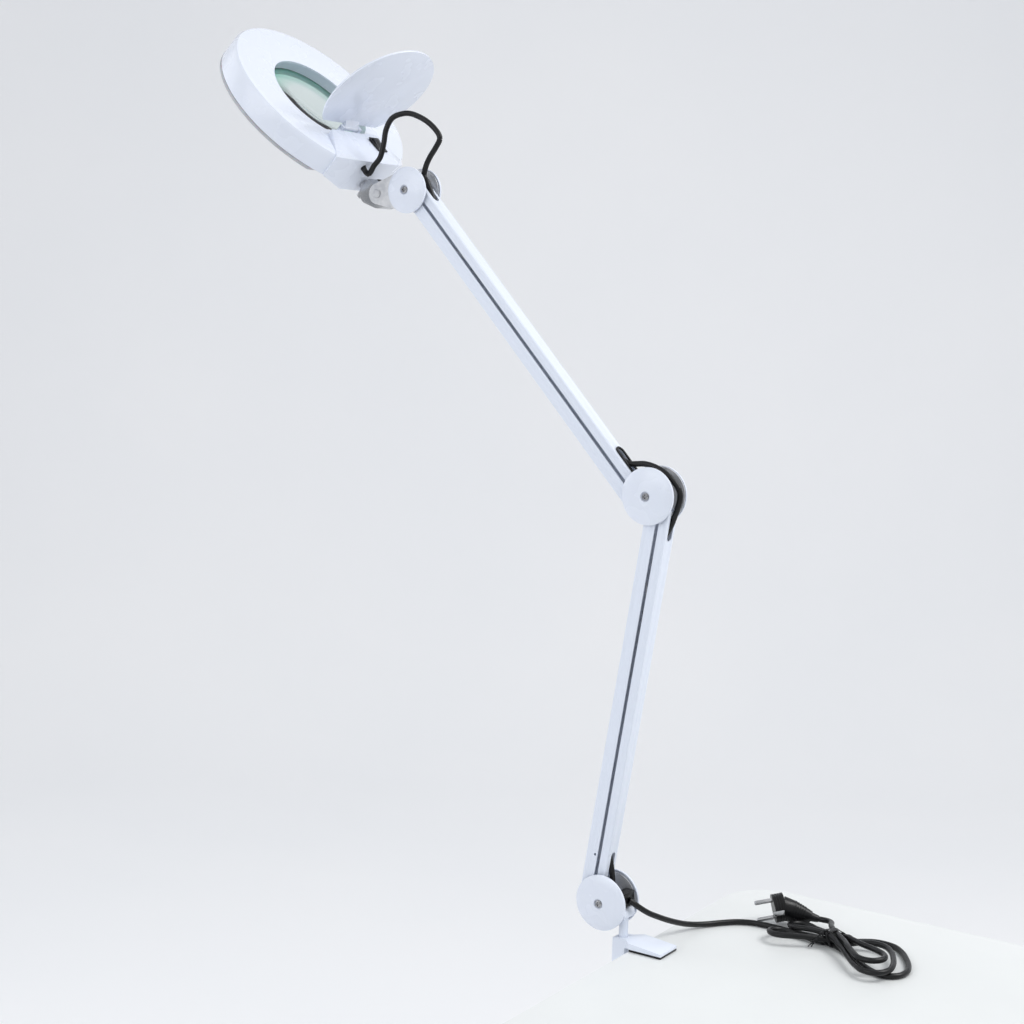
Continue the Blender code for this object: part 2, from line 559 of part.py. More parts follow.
# flip cover, drawn shut in the head's frame and swung open about its hinge
OPEN = (HEAD_FRAME @ Matrix.Translation((HINGE[0] * MM, 0, HINGE[1] * MM))
        @ Matrix.Rotation(math.radians(COVER_OPEN), 4, "Y")
        @ Matrix.Translation((-HINGE[0] * MM, 0, -HINGE[1] * MM)))
chord = math.acos(50.2 / COVER_DISC_R)
disc = [(COVER_DISC_R * math.cos(chord + (2 * math.pi - 2 * chord) * i / 56),
         COVER_DISC_R * math.sin(chord + (2 * math.pi - 2 * chord) * i / 56)) for i in range(57)]
flip = to_mesh(plate("flip_cover", "white_plastic", [disc], 2.0, OPEN @ Matrix.Translation((0, 0, 1.9 * MM))))
boolean(flip, hull("cover_lug", "", [(x, y, s) for y in (-11, 11) for x, s in ((44, 2.4), (44, 1.0), (50, 0.8), (55, 5.0), (52, 9.0))], OPEN, CUTTERS), "UNION")
hinge_at = at_head(HINGE[0], 0, HINGE[1])
boolean(flip, rod("cover_barrel", "", (hinge_at[0], -11, hinge_at[2]), (hinge_at[0], 11, hinge_at[2]), 2.9, 20, CUTTERS), "UNION")
boolean(flip, rod("cover_stubs", "", (hinge_at[0], -15, hinge_at[2]), (hinge_at[0], 15, hinge_at[2]), 1.4, 12, CUTTERS), "UNION")


# ---------------------------------------------------------------- springs
def spring(name, origin, u, w):
    """A tension spring as the solid of its coils, hooked to the inner and outer webs."""
    def p(s, at, y=3.9):
        x, z = add(add(origin, u, s), w, at)
        return (x, y, z)
    body = [(150, -1.2), (170, -2.2), (230, -5.2), (290, -8.2), (310, -9.2)]
    pts = [p(118, 3.4), p(124, 2.0), p(146, -0.8)] + [p(s, a) for s, a in body] + [p(314, -9.6), p(336, -13.0), p(342, -16.0)]
    radii = [0.9, 0.9, 0.9, 3.4, 3.6, 3.6, 3.6, 3.4, 0.9, 0.9, 0.9]
    return tube(name, "zinc", pts, 3.6, radii)


spring("lower_spring", B_IN, U1, W1)
spring("upper_spring", F_IN, U2, W2)


# ---------------------------------------------------------------- cables held by the arms
def arm_point(origin, u, w):
    def at(s, across_, y):
        x, z = add(add(origin, u, s), w, across_)
        return (x, y, z)
    return at


LP, UP = arm_point(B_IN, U1, W1), arm_point(F_IN, U2, W2)

BASE_CABLE = [(-41.7, 0, 48.4), (-46, 0, 52), (-49.3, 0, 59), (-50.2, 0, 66), LP(33, 7.0, 0), LP(42, 3.8, 0), LP(52, 0.9, -1.6)]
tube("base_cable", "black_rubber", BASE_CABLE, CABLE_R, spacing=7)
LOWER_CABLE = [LP(53.2, 0.8, -1.8), LP(75, 0.6, -4.3), LP(200, 0.6, -4.4), LP(310, 0.6, -4.4), LP(345, -3.0, -4.6), LP(362, -4.0, -4.6),
               LP(377.0, -2.8, -4.2)]
tube("lower_cable", "black_rubber", LOWER_CABLE, CABLE_R, spacing=17)
ELBOW_CORD = [LP(377.8, -2.6, -4.1), LP(386, -0.8, -2.8), LP(395, 2.2, -1.0), LP(404, 5.0, 0), LP(412.7, 6.8, 0), (8.6, 0, 457.0), (10.8, 0, 466.5), (9.3, 0, 475.3), (2.2, 0, 483.7),
              (-7.3, 0, 490.9), (-18.8, 0, 496.0), (-30.4, 0, 498.2), (-40.6, 0, 497.5), UP(31.0, 5.6, 0), UP(40.0, 1.6, -1.2), UP(50, -2.0, -3.6)]
tube("elbow_cord", "black_rubber", ELBOW_CORD, CABLE_R, spacing=9)
UPPER_CABLE = [UP(51.2, -2.3, -3.9), UP(62, -3.6, -4.6), UP(90, 0.4, -4.4), UP(200, 0.6, -4.4), UP(330, 0.6, -4.2), UP(375, 0.5, -2.6), UP(387.3, 0.5, -1.0)]
tube("upper_cable", "black_rubber", UPPER_CABLE, CABLE_R, spacing=17)
SHIFT = -55.15
HEAD_CORD = [UP(388.3, 0.6, -0.9), UP(397, 2.6, -0.4), UP(406, 5.4, 0), UP(416, 8.2, 0), (-258.6 + SHIFT, 0, 785.7), (-256.2 + SHIFT, 0, 796.2), (-251.2 + SHIFT, 0, 805.5),
             (-243.5 + SHIFT, 0, 815.8), (-238.8 + SHIFT, 0, 825.1), (-244.7 + SHIFT, -1, 834.5), (-256.6 + SHIFT, -3, 844.0),
             (-272.6 + SHIFT, -5, 850.7), (-283.8 + SHIFT, -8, 850.9), (-294.8 + SHIFT, -11, 846.2), (-300.2 + SHIFT, -14, 834.0),
             (-300.6 + SHIFT, -17, 819.0), (-303.3 + SHIFT, -19, 804.9), (-310.5 + SHIFT, -20, 796.3), at_head(110.6 + 9, -20, 1.5),
             at_head(106, -20, 1.5), at_head(97.0, -20, 1.5)]
tube("head_cord", "black_rubber", HEAD_CORD, CABLE_R, spacing=10)

# ---------------------------------------------------------------- mains cord, hank and plug
MAINS = [(-28.6, 0, 46.9), (-26.6, 0.6, 46.0), (-23.6, 3.5, 42.8), (-19.7, 9, 37.8), (-15.5, 17, 32.0), (-11.5, 28, 26.2), (-7.6, 42, 19.6), (-4.0, 56, 13.8),
         (-0.5, 70, 8.8), (4.5, 85, 5.0), (12, 99, 3.3), (21, 111.5, 3.1), (33, 124.5, 3.1), (46, 132, 3.1), (60, 134.5, 3.1), (77.4, 134.6, 3.1)]
tube("mains_cord", "black_rubber", MAINS, CABLE_R, spacing=12)

# the hank lies in two lobes, two folds to the left of its tie and three loops to the right
HANK = [(152, 110), (162, 98), (176, 82), (190, 66.5), (203, 58), (218, 59.5), (229, 73), (236, 84), (238.5, 100), (234, 118), (225, 137),
        (213.5, 152.5), (199, 164), (181, 167), (168, 161.5), (157.5, 150), (151, 143.6), (146, 145.5), (140, 148), (126, 150.5), (111, 155.5),
        (98, 157), (88, 153.5), (83, 146), (80, 140), (78.6, 131), (74.5, 120), (74.5, 106), (81, 96.5), (92, 93.5), (106, 96), (120, 106),
        (131, 116.5), (142, 116.5)]
HANK_H = 19.0
hank = to_mesh(plate("cord_hank", "black_rubber", [HANK], HANK_H - 0.2, Matrix.Translation((0, 0, (HANK_H / 2 + 0.1) * MM))))
# the plug's grip lies over the end of the upper fold
boolean(hank, hull("hank_plug_room", "", [(x, y, z) for x, y in ((60, 143), (94, 146), (118, 158), (116, 190), (40, 190)) for z in (8.2, 30)], None, CUTTERS))

PLUG = (63.0, 150.5, 17.2)
GRIP_END = (99.0, 168.5, 11.0)
PLUG_AXIS = Vector((-0.80, -0.58, -0.20)).normalized()      # the pins dip towards the desk
py = Vector((0, 0, 1)).cross(PLUG_AXIS).normalized()
PLUG_FRAME = frame(PLUG, PLUG_AXIS, py, PLUG_AXIS.cross(py))


def ring_points(x, ry, rz, n=20):
    return [(x, ry * math.cos(2 * math.pi * i / n), rz * math.sin(2 * math.pi * i / n)) for i in range(n)]


def in_plug(x, y, z):
    v = PLUG_FRAME @ Vector((x * MM, y * MM, z * MM))
    return (v.x / MM, v.y / MM, v.z / MM)


# the grip leaves the face at an angle, level with the desk
GRIP_FRAME = along(GRIP_END, in_plug(-7, 0, 0))
GRIP_LEN = (Vector(in_plug(-7, 0, 0)) - Vector(GRIP_END)).length


def section(h, rx, ry, n=16):
    return [(rx * math.cos(2 * math.pi * i / n), ry * math.sin(2 * math.pi * i / n), h) for i in range(n)]


body = hull("plug_body", "black_rubber", ring_points(0, 15.2, 15.2) + ring_points(-12, 15.2, 15.2), PLUG_FRAME)
boolean(body, hull("plug_grip", "", section(GRIP_LEN - 2, 13.0, 13.0) + section(GRIP_LEN - 14, 12.0, 10.5) + section(6, 8.0, 7.0) + section(0, 6.0, 5.5), GRIP_FRAME, CUTTERS), "UNION")
boolean(body, hull("plug_relief", "", section(3, 5.4, 5.4, 12) + section(-8, 3.6, 3.6, 12), GRIP_FRAME, CUTTERS), "UNION")
for label, z in (("upper", 9.5), ("lower", -9.5)):
    turned(f"plug_pin_{label}", "chrome", [(0, 19.3), (1.6, 19.3), (2.4, 18.2), (2.4, GAP), (0, GAP)],
           in_plug(0, 0, z), in_plug(1, 0, z), 14)
lead_at = GRIP_FRAME @ Vector((0, 0, -9.2 * MM))
lead_on = GRIP_FRAME @ Vector((0, 0, -12.5 * MM))
PLUG_LEAD = [tuple(c / MM for c in lead_at), tuple(c / MM for c in lead_on), (114.5, 172.5, 9.1), (118, 170.5, 9.6), (122.5, 165, 10.6), (126.5, 157.5, 11.8), (127.8, 155, 12.2)]
tube("plug_lead", "black_rubber", PLUG_LEAD, CABLE_R, spacing=6)

TIE_AT, TIE_DIR = (143.0, 130.5), Vector((0.907, -0.42, 0)).normalized()
tie = [(-18.6, 0.3), (-17.2, 0.3), (-17.2, 19.4), (17.2, 19.4), (17.2, 0.3), (18.6, 0.3), (18.6, 19.6), (17.4, 20.8), (-17.4, 20.8), (-18.6, 19.6)]
plate("cord_tie", "black_plastic", [tie], 3.6,
      frame((TIE_AT[0], TIE_AT[1], 0), TIE_DIR.cross(Vector((0, 0, -1))), Vector((0, 0, 1)), TIE_DIR.cross(Vector((0, 0, -1))).cross(Vector((0, 0, 1)))))
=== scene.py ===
"""Looks for the clamp-on magnifying lamp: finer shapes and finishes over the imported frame.

The functions take millimetres, as the part's own source does, and the objects are in metres.
"""
import json
import math

import bmesh
import bpy
import numpy as np
from mathutils import Matrix, Vector

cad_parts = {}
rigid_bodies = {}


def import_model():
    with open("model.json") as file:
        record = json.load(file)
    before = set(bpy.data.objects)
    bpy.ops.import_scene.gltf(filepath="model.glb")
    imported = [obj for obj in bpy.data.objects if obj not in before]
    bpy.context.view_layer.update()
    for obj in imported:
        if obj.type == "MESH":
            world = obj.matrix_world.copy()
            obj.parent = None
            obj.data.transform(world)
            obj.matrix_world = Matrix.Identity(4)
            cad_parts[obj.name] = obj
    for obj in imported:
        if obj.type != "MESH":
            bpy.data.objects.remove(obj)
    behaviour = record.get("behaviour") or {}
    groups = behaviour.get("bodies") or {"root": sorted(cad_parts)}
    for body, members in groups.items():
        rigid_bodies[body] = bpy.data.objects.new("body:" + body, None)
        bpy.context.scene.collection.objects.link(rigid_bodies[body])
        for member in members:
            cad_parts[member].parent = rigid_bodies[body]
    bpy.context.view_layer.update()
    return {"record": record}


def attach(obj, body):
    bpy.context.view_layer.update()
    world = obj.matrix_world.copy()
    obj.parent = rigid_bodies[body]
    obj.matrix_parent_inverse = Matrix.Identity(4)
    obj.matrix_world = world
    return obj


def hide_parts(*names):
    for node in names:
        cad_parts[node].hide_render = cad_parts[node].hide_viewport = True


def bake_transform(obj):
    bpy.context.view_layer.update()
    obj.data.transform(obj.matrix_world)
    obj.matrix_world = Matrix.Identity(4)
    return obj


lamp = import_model()
BODY_OF = {node: name for name, nodes in lamp["record"]["behaviour"]["bodies"].items() for node in nodes}

MM = 0.001

# ---------------------------------------------------------------- dimensions
BASE = (-55.15, 42.9)       # knuckle centres in the XZ plane
ELBOW = (-18.15, 467.7)
HEAD = (-325.65, 770.2)
ARM = 412.7                 # pivot to pivot
PIN_GAP = 14.0              # between the two pivots at each end of an arm
LOWER_DEG = 81.373          # direction of the lower arm above +X
UPPER_DEG = 133.130
OUTER_BASE = (-21.8, 0.5)   # outer pivots, from their knuckle's centre
OUTER_ELBOW = (-23.4, -6.6)
SHEET = 1.0                 # channel sheet
PLATE_IN, PLATE_OUT = 10.9, 12.5
COVER_IN = 12.8
COVER_R, HEAD_COVER_R = 29.0, 24.6
PIN_R, HOLE_R = 2.5, 2.75

POST_X, POST_R = -34.9, 4.8
POST_EYE_Z = 33.0

RING = (-458.65, 871.4)     # centre of the head's opening, at its top edge
RING_TILT = 45.5            # slope of the head's plane below +X
OPENING_R, RING_R = 60.5, 112.6
TILT_PIN = (138.8, -8.1)    # in the head's own x, s
STUD_S = -20.0
HINGE = (53.0, 7.0)
COVER_DISC_R, COVER_OPEN = 67.4, 97.1
LENS_R = 63.5

CABLE_R = 3.0
GAP = 0.3

# ---------------------------------------------------------------- collections
PARTS = bpy.data.collections.new("lamp")
CUTTERS = bpy.data.collections.new("cutters")
bpy.context.scene.collection.children.link(PARTS)
bpy.context.scene.collection.children.link(CUTTERS)
MADE = {}


# ---------------------------------------------------------------- finishes
class Look:
    """A material whose nodes are added a few at a time."""

    def __init__(self, name, colour, rough, metal=0.0):
        self.mat = bpy.data.materials.new("look_" + name)
        self.mat.use_nodes = True
        self.tree = self.mat.node_tree
        self.shader = self.tree.nodes["Principled BSDF"]
        self.shader.inputs["Base Color"].default_value = (*colour, 1)
        self.shader.inputs["Roughness"].default_value = rough
        self.shader.inputs["Metallic"].default_value = metal
        self.coord = self.tree.nodes.new("ShaderNodeTexCoord")

    def put(self, kind, **values):
        node = self.tree.nodes.new(kind)
        for key, value in values.items():
            setattr(node, key, value)
        return node

    def link(self, a, b):
        self.tree.links.new(a, b)

    def stretched(self, scale):
        """Object coordinates scaled along each axis."""
        node = self.put("ShaderNodeMapping")
        node.inputs["Scale"].default_value = scale
        self.link(self.coord.outputs["Object"], node.inputs["Vector"])
        return node.outputs["Vector"]

    def noise(self, scale, detail=3.0, rough=0.55, vector=None):
        node = self.put("ShaderNodeTexNoise")
        node.inputs["Scale"].default_value = scale
        node.inputs["Detail"].default_value = detail
        node.inputs["Roughness"].default_value = rough
        self.link(vector or self.coord.outputs["Object"], node.inputs["Vector"])
        return node.outputs["Fac"]

    def spread(self, value, lo, hi, start=0.3, stop=0.7):
        node = self.put("ShaderNodeMapRange")
        node.inputs["From Min"].default_value = start
        node.inputs["From Max"].default_value = stop
        node.inputs["To Min"].default_value = lo
        node.inputs["To Max"].default_value = hi
        self.link(value, node.inputs["Value"])
        return node.outputs["Result"]

    def tint(self, value, a, b, start=0.35, stop=0.65):
        node = self.put("ShaderNodeValToRGB")
        node.color_ramp.elements[0].position = start
        node.color_ramp.elements[1].position = stop
        node.color_ramp.elements[0].color = (*a, 1)
        node.color_ramp.elements[1].color = (*b, 1)
        self.link(value, node.inputs["Fac"])
        self.link(node.outputs["Color"], self.shader.inputs["Base Color"])
        return node.outputs["Color"]

    def rough(self, value, lo, hi):
        self.link(self.spread(value, lo, hi), self.shader.inputs["Roughness"])

    def bump(self, value, strength, distance, after=None):
        node = self.put("ShaderNodeBump")
        node.inputs["Strength"].default_value = strength
        node.inputs["Distance"].default_value = distance
        self.link(value, node.inputs["Height"])
        if after:
            self.link(after, node.inputs["Normal"])
        self.link(node.outputs["Normal"], self.shader.inputs["Normal"])
        return node.outputs["Normal"]


def make_look(name):
    if name == "white_plastic":
        k = Look(name, (0.80, 0.84, 0.93), 0.24)
        k.shader.inputs["Coat Weight"].default_value = 0.25
        k.shader.inputs["Coat Roughness"].default_value = 0.12
        k.shader.inputs["Subsurface Weight"].default_value = 0.04
        k.shader.inputs["Subsurface Radius"].default_value = (0.004, 0.004, 0.005)
        k.tint(k.noise(9.0, 2.0), WHITE_A, WHITE_B, 0.2, 0.8)
        k.rough(k.noise(34.0, 2.0), 0.24, 0.29)
        k.bump(k.noise(420.0, 2.0), 0.05, 0.00015)
    elif name == "white_paint":
        k = Look(name, (0.78, 0.83, 0.93), 0.34)
        k.tint(k.noise(7.0, 2.0), PAINT_A, PAINT_B, 0.2, 0.8)
        k.rough(k.noise(60.0, 3.0), 0.30, 0.38)
        k.bump(k.noise(900.0, 2.0), 0.14, 0.00012)
    elif name == "sheet_edge":
        k = Look(name, (0.70, 0.74, 0.80), 0.30, 0.4)
        k.tint(k.noise(60.0, 5.0), (0.62, 0.66, 0.72), (0.82, 0.86, 0.93))
        k.rough(k.noise(120.0, 4.0), 0.22, 0.40)
    elif name == "zinc":
        k = Look(name, (0.60, 0.60, 0.61), 0.33, 1.0)
        k.shader.inputs["Metallic"].default_value = 0.7
        k.tint(k.noise(90.0, 6.0), (0.56, 0.57, 0.59), (0.78, 0.78, 0.79))
        grain = k.noise(240.0, 4.0, 0.6, k.stretched((1.0, 1.0, 14.0)))
        k.rough(grain, 0.30, 0.50)
        k.bump(grain, 0.12, 0.0001)
    elif name == "chrome":
        k = Look(name, (0.55, 0.55, 0.56), 0.12, 1.0)
        k.tint(k.noise(20.0, 4.0), (0.40, 0.41, 0.42), (0.62, 0.62, 0.63))
        k.rough(k.noise(120.0, 5.0), 0.07, 0.19)
        k.bump(k.noise(500.0, 2.0), 0.04, 0.0001)
    elif name == "screw":
        # The screws are chrome; this copy is darker, with painted shade of the cover's recess round them.
        k = Look(name, (0.42, 0.42, 0.43), 0.2, 1.0)
        k.tint(k.noise(150.0, 4.0), (0.30, 0.30, 0.31), (0.50, 0.50, 0.51))
        k.rough(k.noise(300.0, 4.0), 0.14, 0.30)
    elif name == "black_plastic":
        k = Look(name, (0.014, 0.014, 0.016), 0.34)
        k.shader.inputs["Specular IOR Level"].default_value = 0.4
        k.tint(k.noise(50.0, 4.0), (0.005, 0.005, 0.006), (0.013, 0.013, 0.015))
        k.rough(k.noise(150.0, 4.0), 0.26, 0.44)
        k.bump(k.noise(1300.0, 2.0), 0.18, 0.00012)
    elif name == "black_rubber":
        k = Look(name, (0.012, 0.012, 0.013), 0.45)
        k.shader.inputs["Specular IOR Level"].default_value = 0.34
        k.tint(k.noise(70.0, 5.0), (0.0025, 0.0025, 0.003), (0.007, 0.007, 0.008))
        k.rough(k.noise(200.0, 4.0), 0.26, 0.42)
        k.bump(k.noise(700.0, 3.0), 0.15, 0.00018)
    elif name == "glass":
        k = Look(name, (0.86, 0.955, 0.925), 0.02)
        k.shader.inputs["Transmission Weight"].default_value = 1.0
        k.shader.inputs["IOR"].default_value = 1.5
        centre, axis = [c * MM for c in at_head(0, 0, 0)], tuple(HN)
        less = k.put("ShaderNodeVectorMath", operation="SUBTRACT")
        less.inputs[1].default_value = centre
        turn = k.put("ShaderNodeVectorMath", operation="CROSS_PRODUCT")
        turn.inputs[1].default_value = axis
        size = k.put("ShaderNodeVectorMath", operation="LENGTH")
        k.link(k.coord.outputs["Object"], less.inputs[0])
        k.link(less.outputs["Vector"], turn.inputs[0])
        k.link(turn.outputs["Vector"], size.inputs[0])
        # thicker to the eye, and greener, towards its edge
        k.tint(k.spread(size.outputs["Value"], 0.0, 1.0, 0.028, 0.062), (0.86, 0.95, 0.92), (0.30, 0.74, 0.58), 0.15, 1.0)
        k.rough(k.noise(40.0, 3.0), 0.01, 0.03)
    elif name == "diffuser":
        k = Look(name, (0.62, 0.65, 0.70), 0.42)
        k.shader.inputs["Transmission Weight"].default_value = 0.25
        k.shader.inputs["Subsurface Weight"].default_value = 0.2
        k.tint(k.noise(40.0, 4.0), (0.50, 0.53, 0.57), (0.60, 0.63, 0.67))
        k.rough(k.noise(90.0, 4.0), 0.36, 0.52)
        k.bump(k.noise(800.0, 2.0), 0.2, 0.00015)
    elif name == "board":
        k = Look(name, (0.82, 0.82, 0.78), 0.45)
        k.tint(k.noise(150.0, 3.0), (0.76, 0.77, 0.73), (0.85, 0.85, 0.81))
        k.rough(k.noise(100.0, 3.0), 0.35, 0.55)
    elif name == "led":
        k = Look(name, (0.85, 0.72, 0.25), 0.25)
        k.tint(k.noise(500.0, 3.0), (0.80, 0.66, 0.20), (0.90, 0.78, 0.32))
        k.rough(k.noise(300.0, 3.0), 0.18, 0.32)
    elif name == "dark_gap":
        # near black, standing in for the shade inside a gap between parts: painted shade
        k = Look(name, (0.02, 0.022, 0.025), 0.6)
        k.tint(k.noise(80.0, 3.0), (0.015, 0.016, 0.018), (0.03, 0.032, 0.035))
        k.rough(k.noise(80.0, 3.0), 0.5, 0.7)
    elif name == "desk":
        k = Look(name, (0.80, 0.81, 0.83), 0.42)
        k.tint(k.noise(3.0, 5.0), (0.755, 0.77, 0.765), (0.79, 0.805, 0.80))
        k.rough(k.noise(14.0, 5.0), 0.38, 0.5)
        k.bump(k.noise(500.0, 2.0), 0.05, 0.0002)
    elif name == "wall":
        k = Look(name, (0.74, 0.76, 0.80), 0.9)
        k.tint(k.noise(0.8, 3.0), (0.925, 0.93, 0.945), (0.95, 0.95, 0.96))
    else:
        raise KeyError(name)
    return k.mat


WHITE_A, WHITE_B = (0.785, 0.828, 0.925), (0.80, 0.842, 0.938)
PAINT_A, PAINT_B = (0.775, 0.825, 0.925), (0.79, 0.838, 0.938)
FINISHES = {}


def finish(name):
    if name not in FINISHES:
        FINISHES[name] = make_look(name)
    return FINISHES[name]


def unit(deg):
    return Vector((math.cos(math.radians(deg)), 0, math.sin(math.radians(deg))))


def add(point, direction, amount):
    return (point[0] + direction.x * amount, point[1] + direction.z * amount)


def frame(origin, ex, ey, ez):
    """Matrix whose columns are the three directions, at an origin in mm."""
    m = Matrix.Identity(4)
    for i, axis in enumerate((ex, ey, ez)):
        for j in range(3):
            m[j][i] = axis[j]
    for j in range(3):
        m[j][3] = origin[j] * MM
    return m


def along(start, end):
    """A frame at start whose Z runs to end."""
    ez = (Vector(end) - Vector(start)).normalized()
    side = Vector((0, 1, 0)) if abs(ez.y) < 0.9 else Vector((1, 0, 0))
    ex = side.cross(ez).normalized()
    return frame(start, ex, ez.cross(ex), ez)


def place(ob, name, look, matrix=None, coll=None):
    coll = coll or PARTS
    ob.name = ("cut_" if coll is CUTTERS else "lamp_") + name
    if matrix is not None:
        ob.matrix_world = matrix
    coll.objects.link(ob)
    if coll is CUTTERS:
        ob.hide_render = True
    else:
        ob.data.materials.append(finish(look))
        MADE[name] = ob
    return ob


# every side-view outline is drawn in the XZ plane: local X, Y are world X, Z
SIDE = frame((0, 0, 0), Vector((1, 0, 0)), Vector((0, 0, 1)), Vector((0, -1, 0)))


def circle(cx, cy, r, n=20, start=0.0):
    n *= 3
    return [(cx + r * math.cos(start + 2 * math.pi * i / n),
             cy + r * math.sin(start + 2 * math.pi * i / n)) for i in range(n)]


def plate(name, look, outlines, thickness, matrix, coll=None, bevel=0.0):
    """A flat outline, with holes, extruded about its plane."""
    data = bpy.data.curves.new(name, "CURVE")
    data.dimensions = "2D"
    data.fill_mode = "BOTH"
    data.extrude = thickness / 2 * MM
    for outline in outlines:
        spline = data.splines.new("POLY")
        spline.points.add(len(outline) - 1)
        for point, (x, y) in zip(spline.points, outline):
            point.co = (x * MM, y * MM, 0, 1)
        spline.use_cyclic_u = True
    ob = bpy.data.objects.new(name, data)
    return place(ob, name, look, matrix, coll)


def side_plate(name, look, outlines, y_mid, thickness, coll=None):
    return plate(name, look, outlines, thickness, Matrix.Translation((0, y_mid * MM, 0)) @ SIDE, coll)


def to_mesh(ob):
    """The curve object remade as a welded mesh, so that it takes Booleans."""
    bpy.context.view_layer.update()
    graph = bpy.context.evaluated_depsgraph_get()
    key = next((k for k, o in MADE.items() if o == ob), None)
    name, colls, matrix, look = ob.name, list(ob.users_collection), ob.matrix_world.copy(), ob.data.materials[:]
    mesh = bpy.data.meshes.new_from_object(ob.evaluated_get(graph))
    bm = bmesh.new()
    bm.from_mesh(mesh)
    bmesh.ops.remove_doubles(bm, verts=bm.verts, dist=0.00001)
    bm.to_mesh(mesh)
    bm.free()
    hide, display = ob.hide_render, ob.display_type
    bpy.data.objects.remove(ob, do_unlink=True)
    new = bpy.data.objects.new(name, mesh)
    new.matrix_world = matrix
    new.hide_render, new.display_type = hide, display
    for coll in colls:
        coll.objects.link(new)
    if not mesh.materials:
        for mat in look:
            mesh.materials.append(mat)
    if key:
        MADE[key] = new
    return new


def turned(name, look, profile, start, end, steps=24, coll=None):
    """A profile of (radius, height), outer side first from the top down, turned about start-end."""
    mesh = bpy.data.meshes.new(name)
    bm = bmesh.new()
    verts = [bm.verts.new((r * MM, 0, h * MM)) for r, h in profile]
    for a, b in zip(verts, verts[1:]):
        bm.edges.new((a, b))
    if profile[0][0] > 1e-6:
        bm.edges.new((verts[-1], verts[0]))
    bm.to_mesh(mesh)
    bm.free()
    ob = place(bpy.data.objects.new(name, mesh), name, look, along(start, end), coll)
    screw = ob.modifiers.new("turn", "SCREW")
    screw.steps = screw.render_steps = max(32, steps * 3 if steps > 20 else steps * 2)
    screw.use_merge_vertices = True
    screw.merge_threshold = 0.00001
    screw.use_normal_calculate = False
    screw.use_smooth_shade = True
    return ob


def rod(name, look, start, end, r, steps=16, coll=None):
    length = (Vector(end) - Vector(start)).length
    return turned(name, look, [(0, length), (r, length), (r, 0), (0, 0)], start, end, steps, coll)


def box(name, look, lo, hi, matrix=None, coll=None):
    mesh = bpy.data.meshes.new(name)
    bm = bmesh.new()
    bmesh.ops.create_cube(bm, size=1.0)
    size = [(b - a) * MM for a, b in zip(lo, hi)]
    mid = [(a + b) / 2 * MM for a, b in zip(lo, hi)]
    bmesh.ops.transform(bm, matrix=Matrix.Translation(mid) @ Matrix.Diagonal((*size, 1)), verts=bm.verts)
    bm.to_mesh(mesh)
    bm.free()
    return place(bpy.data.objects.new(name, mesh), name, look, matrix or Matrix.Identity(4), coll)


def hull(name, look, points, matrix=None, coll=None):
    mesh = bpy.data.meshes.new(name)
    bm = bmesh.new()
    for p in points:
        bm.verts.new([c * MM for c in p])
    made = bmesh.ops.convex_hull(bm, input=bm.verts)
    loose = [v for v in made["geom_interior"] if isinstance(v, bmesh.types.BMVert)]
    bmesh.ops.delete(bm, geom=loose, context="VERTS")
    bmesh.ops.dissolve_limit(bm, angle_limit=0.001, verts=bm.verts, edges=bm.edges)
    bmesh.ops.recalc_face_normals(bm, faces=bm.faces)
    bm.to_mesh(mesh)
    bm.free()
    return place(bpy.data.objects.new(name, mesh), name, look, matrix or Matrix.Identity(4), coll)


def boolean(ob, other, operation="DIFFERENCE", solver="EXACT"):
    mod = ob.modifiers.new(other.name, "BOOLEAN")
    mod.operation = operation
    mod.solver = solver
    mod.object = other
    return ob


def catmull(points, spacing):
    """Points read every `spacing` mm from a smooth curve through the given ones."""
    pts = [Vector(p) for p in points]
    pts = [pts[0] * 2 - pts[1]] + pts + [pts[-1] * 2 - pts[-2]]
    fine = []
    for a, b, c, d in zip(pts, pts[1:], pts[2:], pts[3:]):
        for k in range(20):
            t = k / 20
            fine.append(0.5 * ((2 * b) + (c - a) * t + (2 * a - 5 * b + 4 * c - d) * t * t
                               + (3 * b - a - 3 * c + d) * t ** 3))
    fine.append(pts[-2])
    total = sum((q - p).length for p, q in zip(fine, fine[1:]))
    count = max(2, round(total / spacing))
    step, out, walked, target = total / count, [fine[0]], 0.0, total / count
    for p, q in zip(fine, fine[1:]):
        seg = (q - p).length
        while walked + seg >= target - 1e-9 and len(out) < count:
            out.append(p.lerp(q, (target - walked) / seg))
            target += step
        walked += seg
    out.append(fine[-1])
    return out


def tube(name, look, points, r, radii=None, resolution=5, spacing=None):
    data = bpy.data.curves.new(name, "CURVE")
    data.dimensions = "3D"
    data.bevel_depth = r * MM
    data.bevel_resolution = resolution
    data.use_fill_caps = True
    pts = catmull(points, spacing) if spacing else [Vector(p) for p in points]
    spline = data.splines.new("POLY")
    spline.points.add(len(pts) - 1)
    for i, (point, p) in enumerate(zip(spline.points, pts)):
        point.co = (p.x * MM, p.y * MM, p.z * MM, 1)
        if radii:
            point.radius = radii[i] / r
    return place(bpy.data.objects.new(name, data), name, look)


# ---------------------------------------------------------------- pivots
U1, U2 = unit(LOWER_DEG), unit(UPPER_DEG)
W1, W2 = unit(LOWER_DEG - 90), unit(UPPER_DEG - 90)   # towards the inner channel's side
B_OUT = (BASE[0] + OUTER_BASE[0], BASE[1] + OUTER_BASE[1])
B_IN = add(B_OUT, W1, PIN_GAP)
E_OUT = add(B_OUT, U1, ARM)
E_IN = add(B_IN, U1, ARM)
F_OUT = (ELBOW[0] + OUTER_ELBOW[0], ELBOW[1] + OUTER_ELBOW[1])
F_IN = add(F_OUT, W2, PIN_GAP)
G_OUT = add(F_OUT, U2, ARM)
G_IN = add(F_IN, U2, ARM)

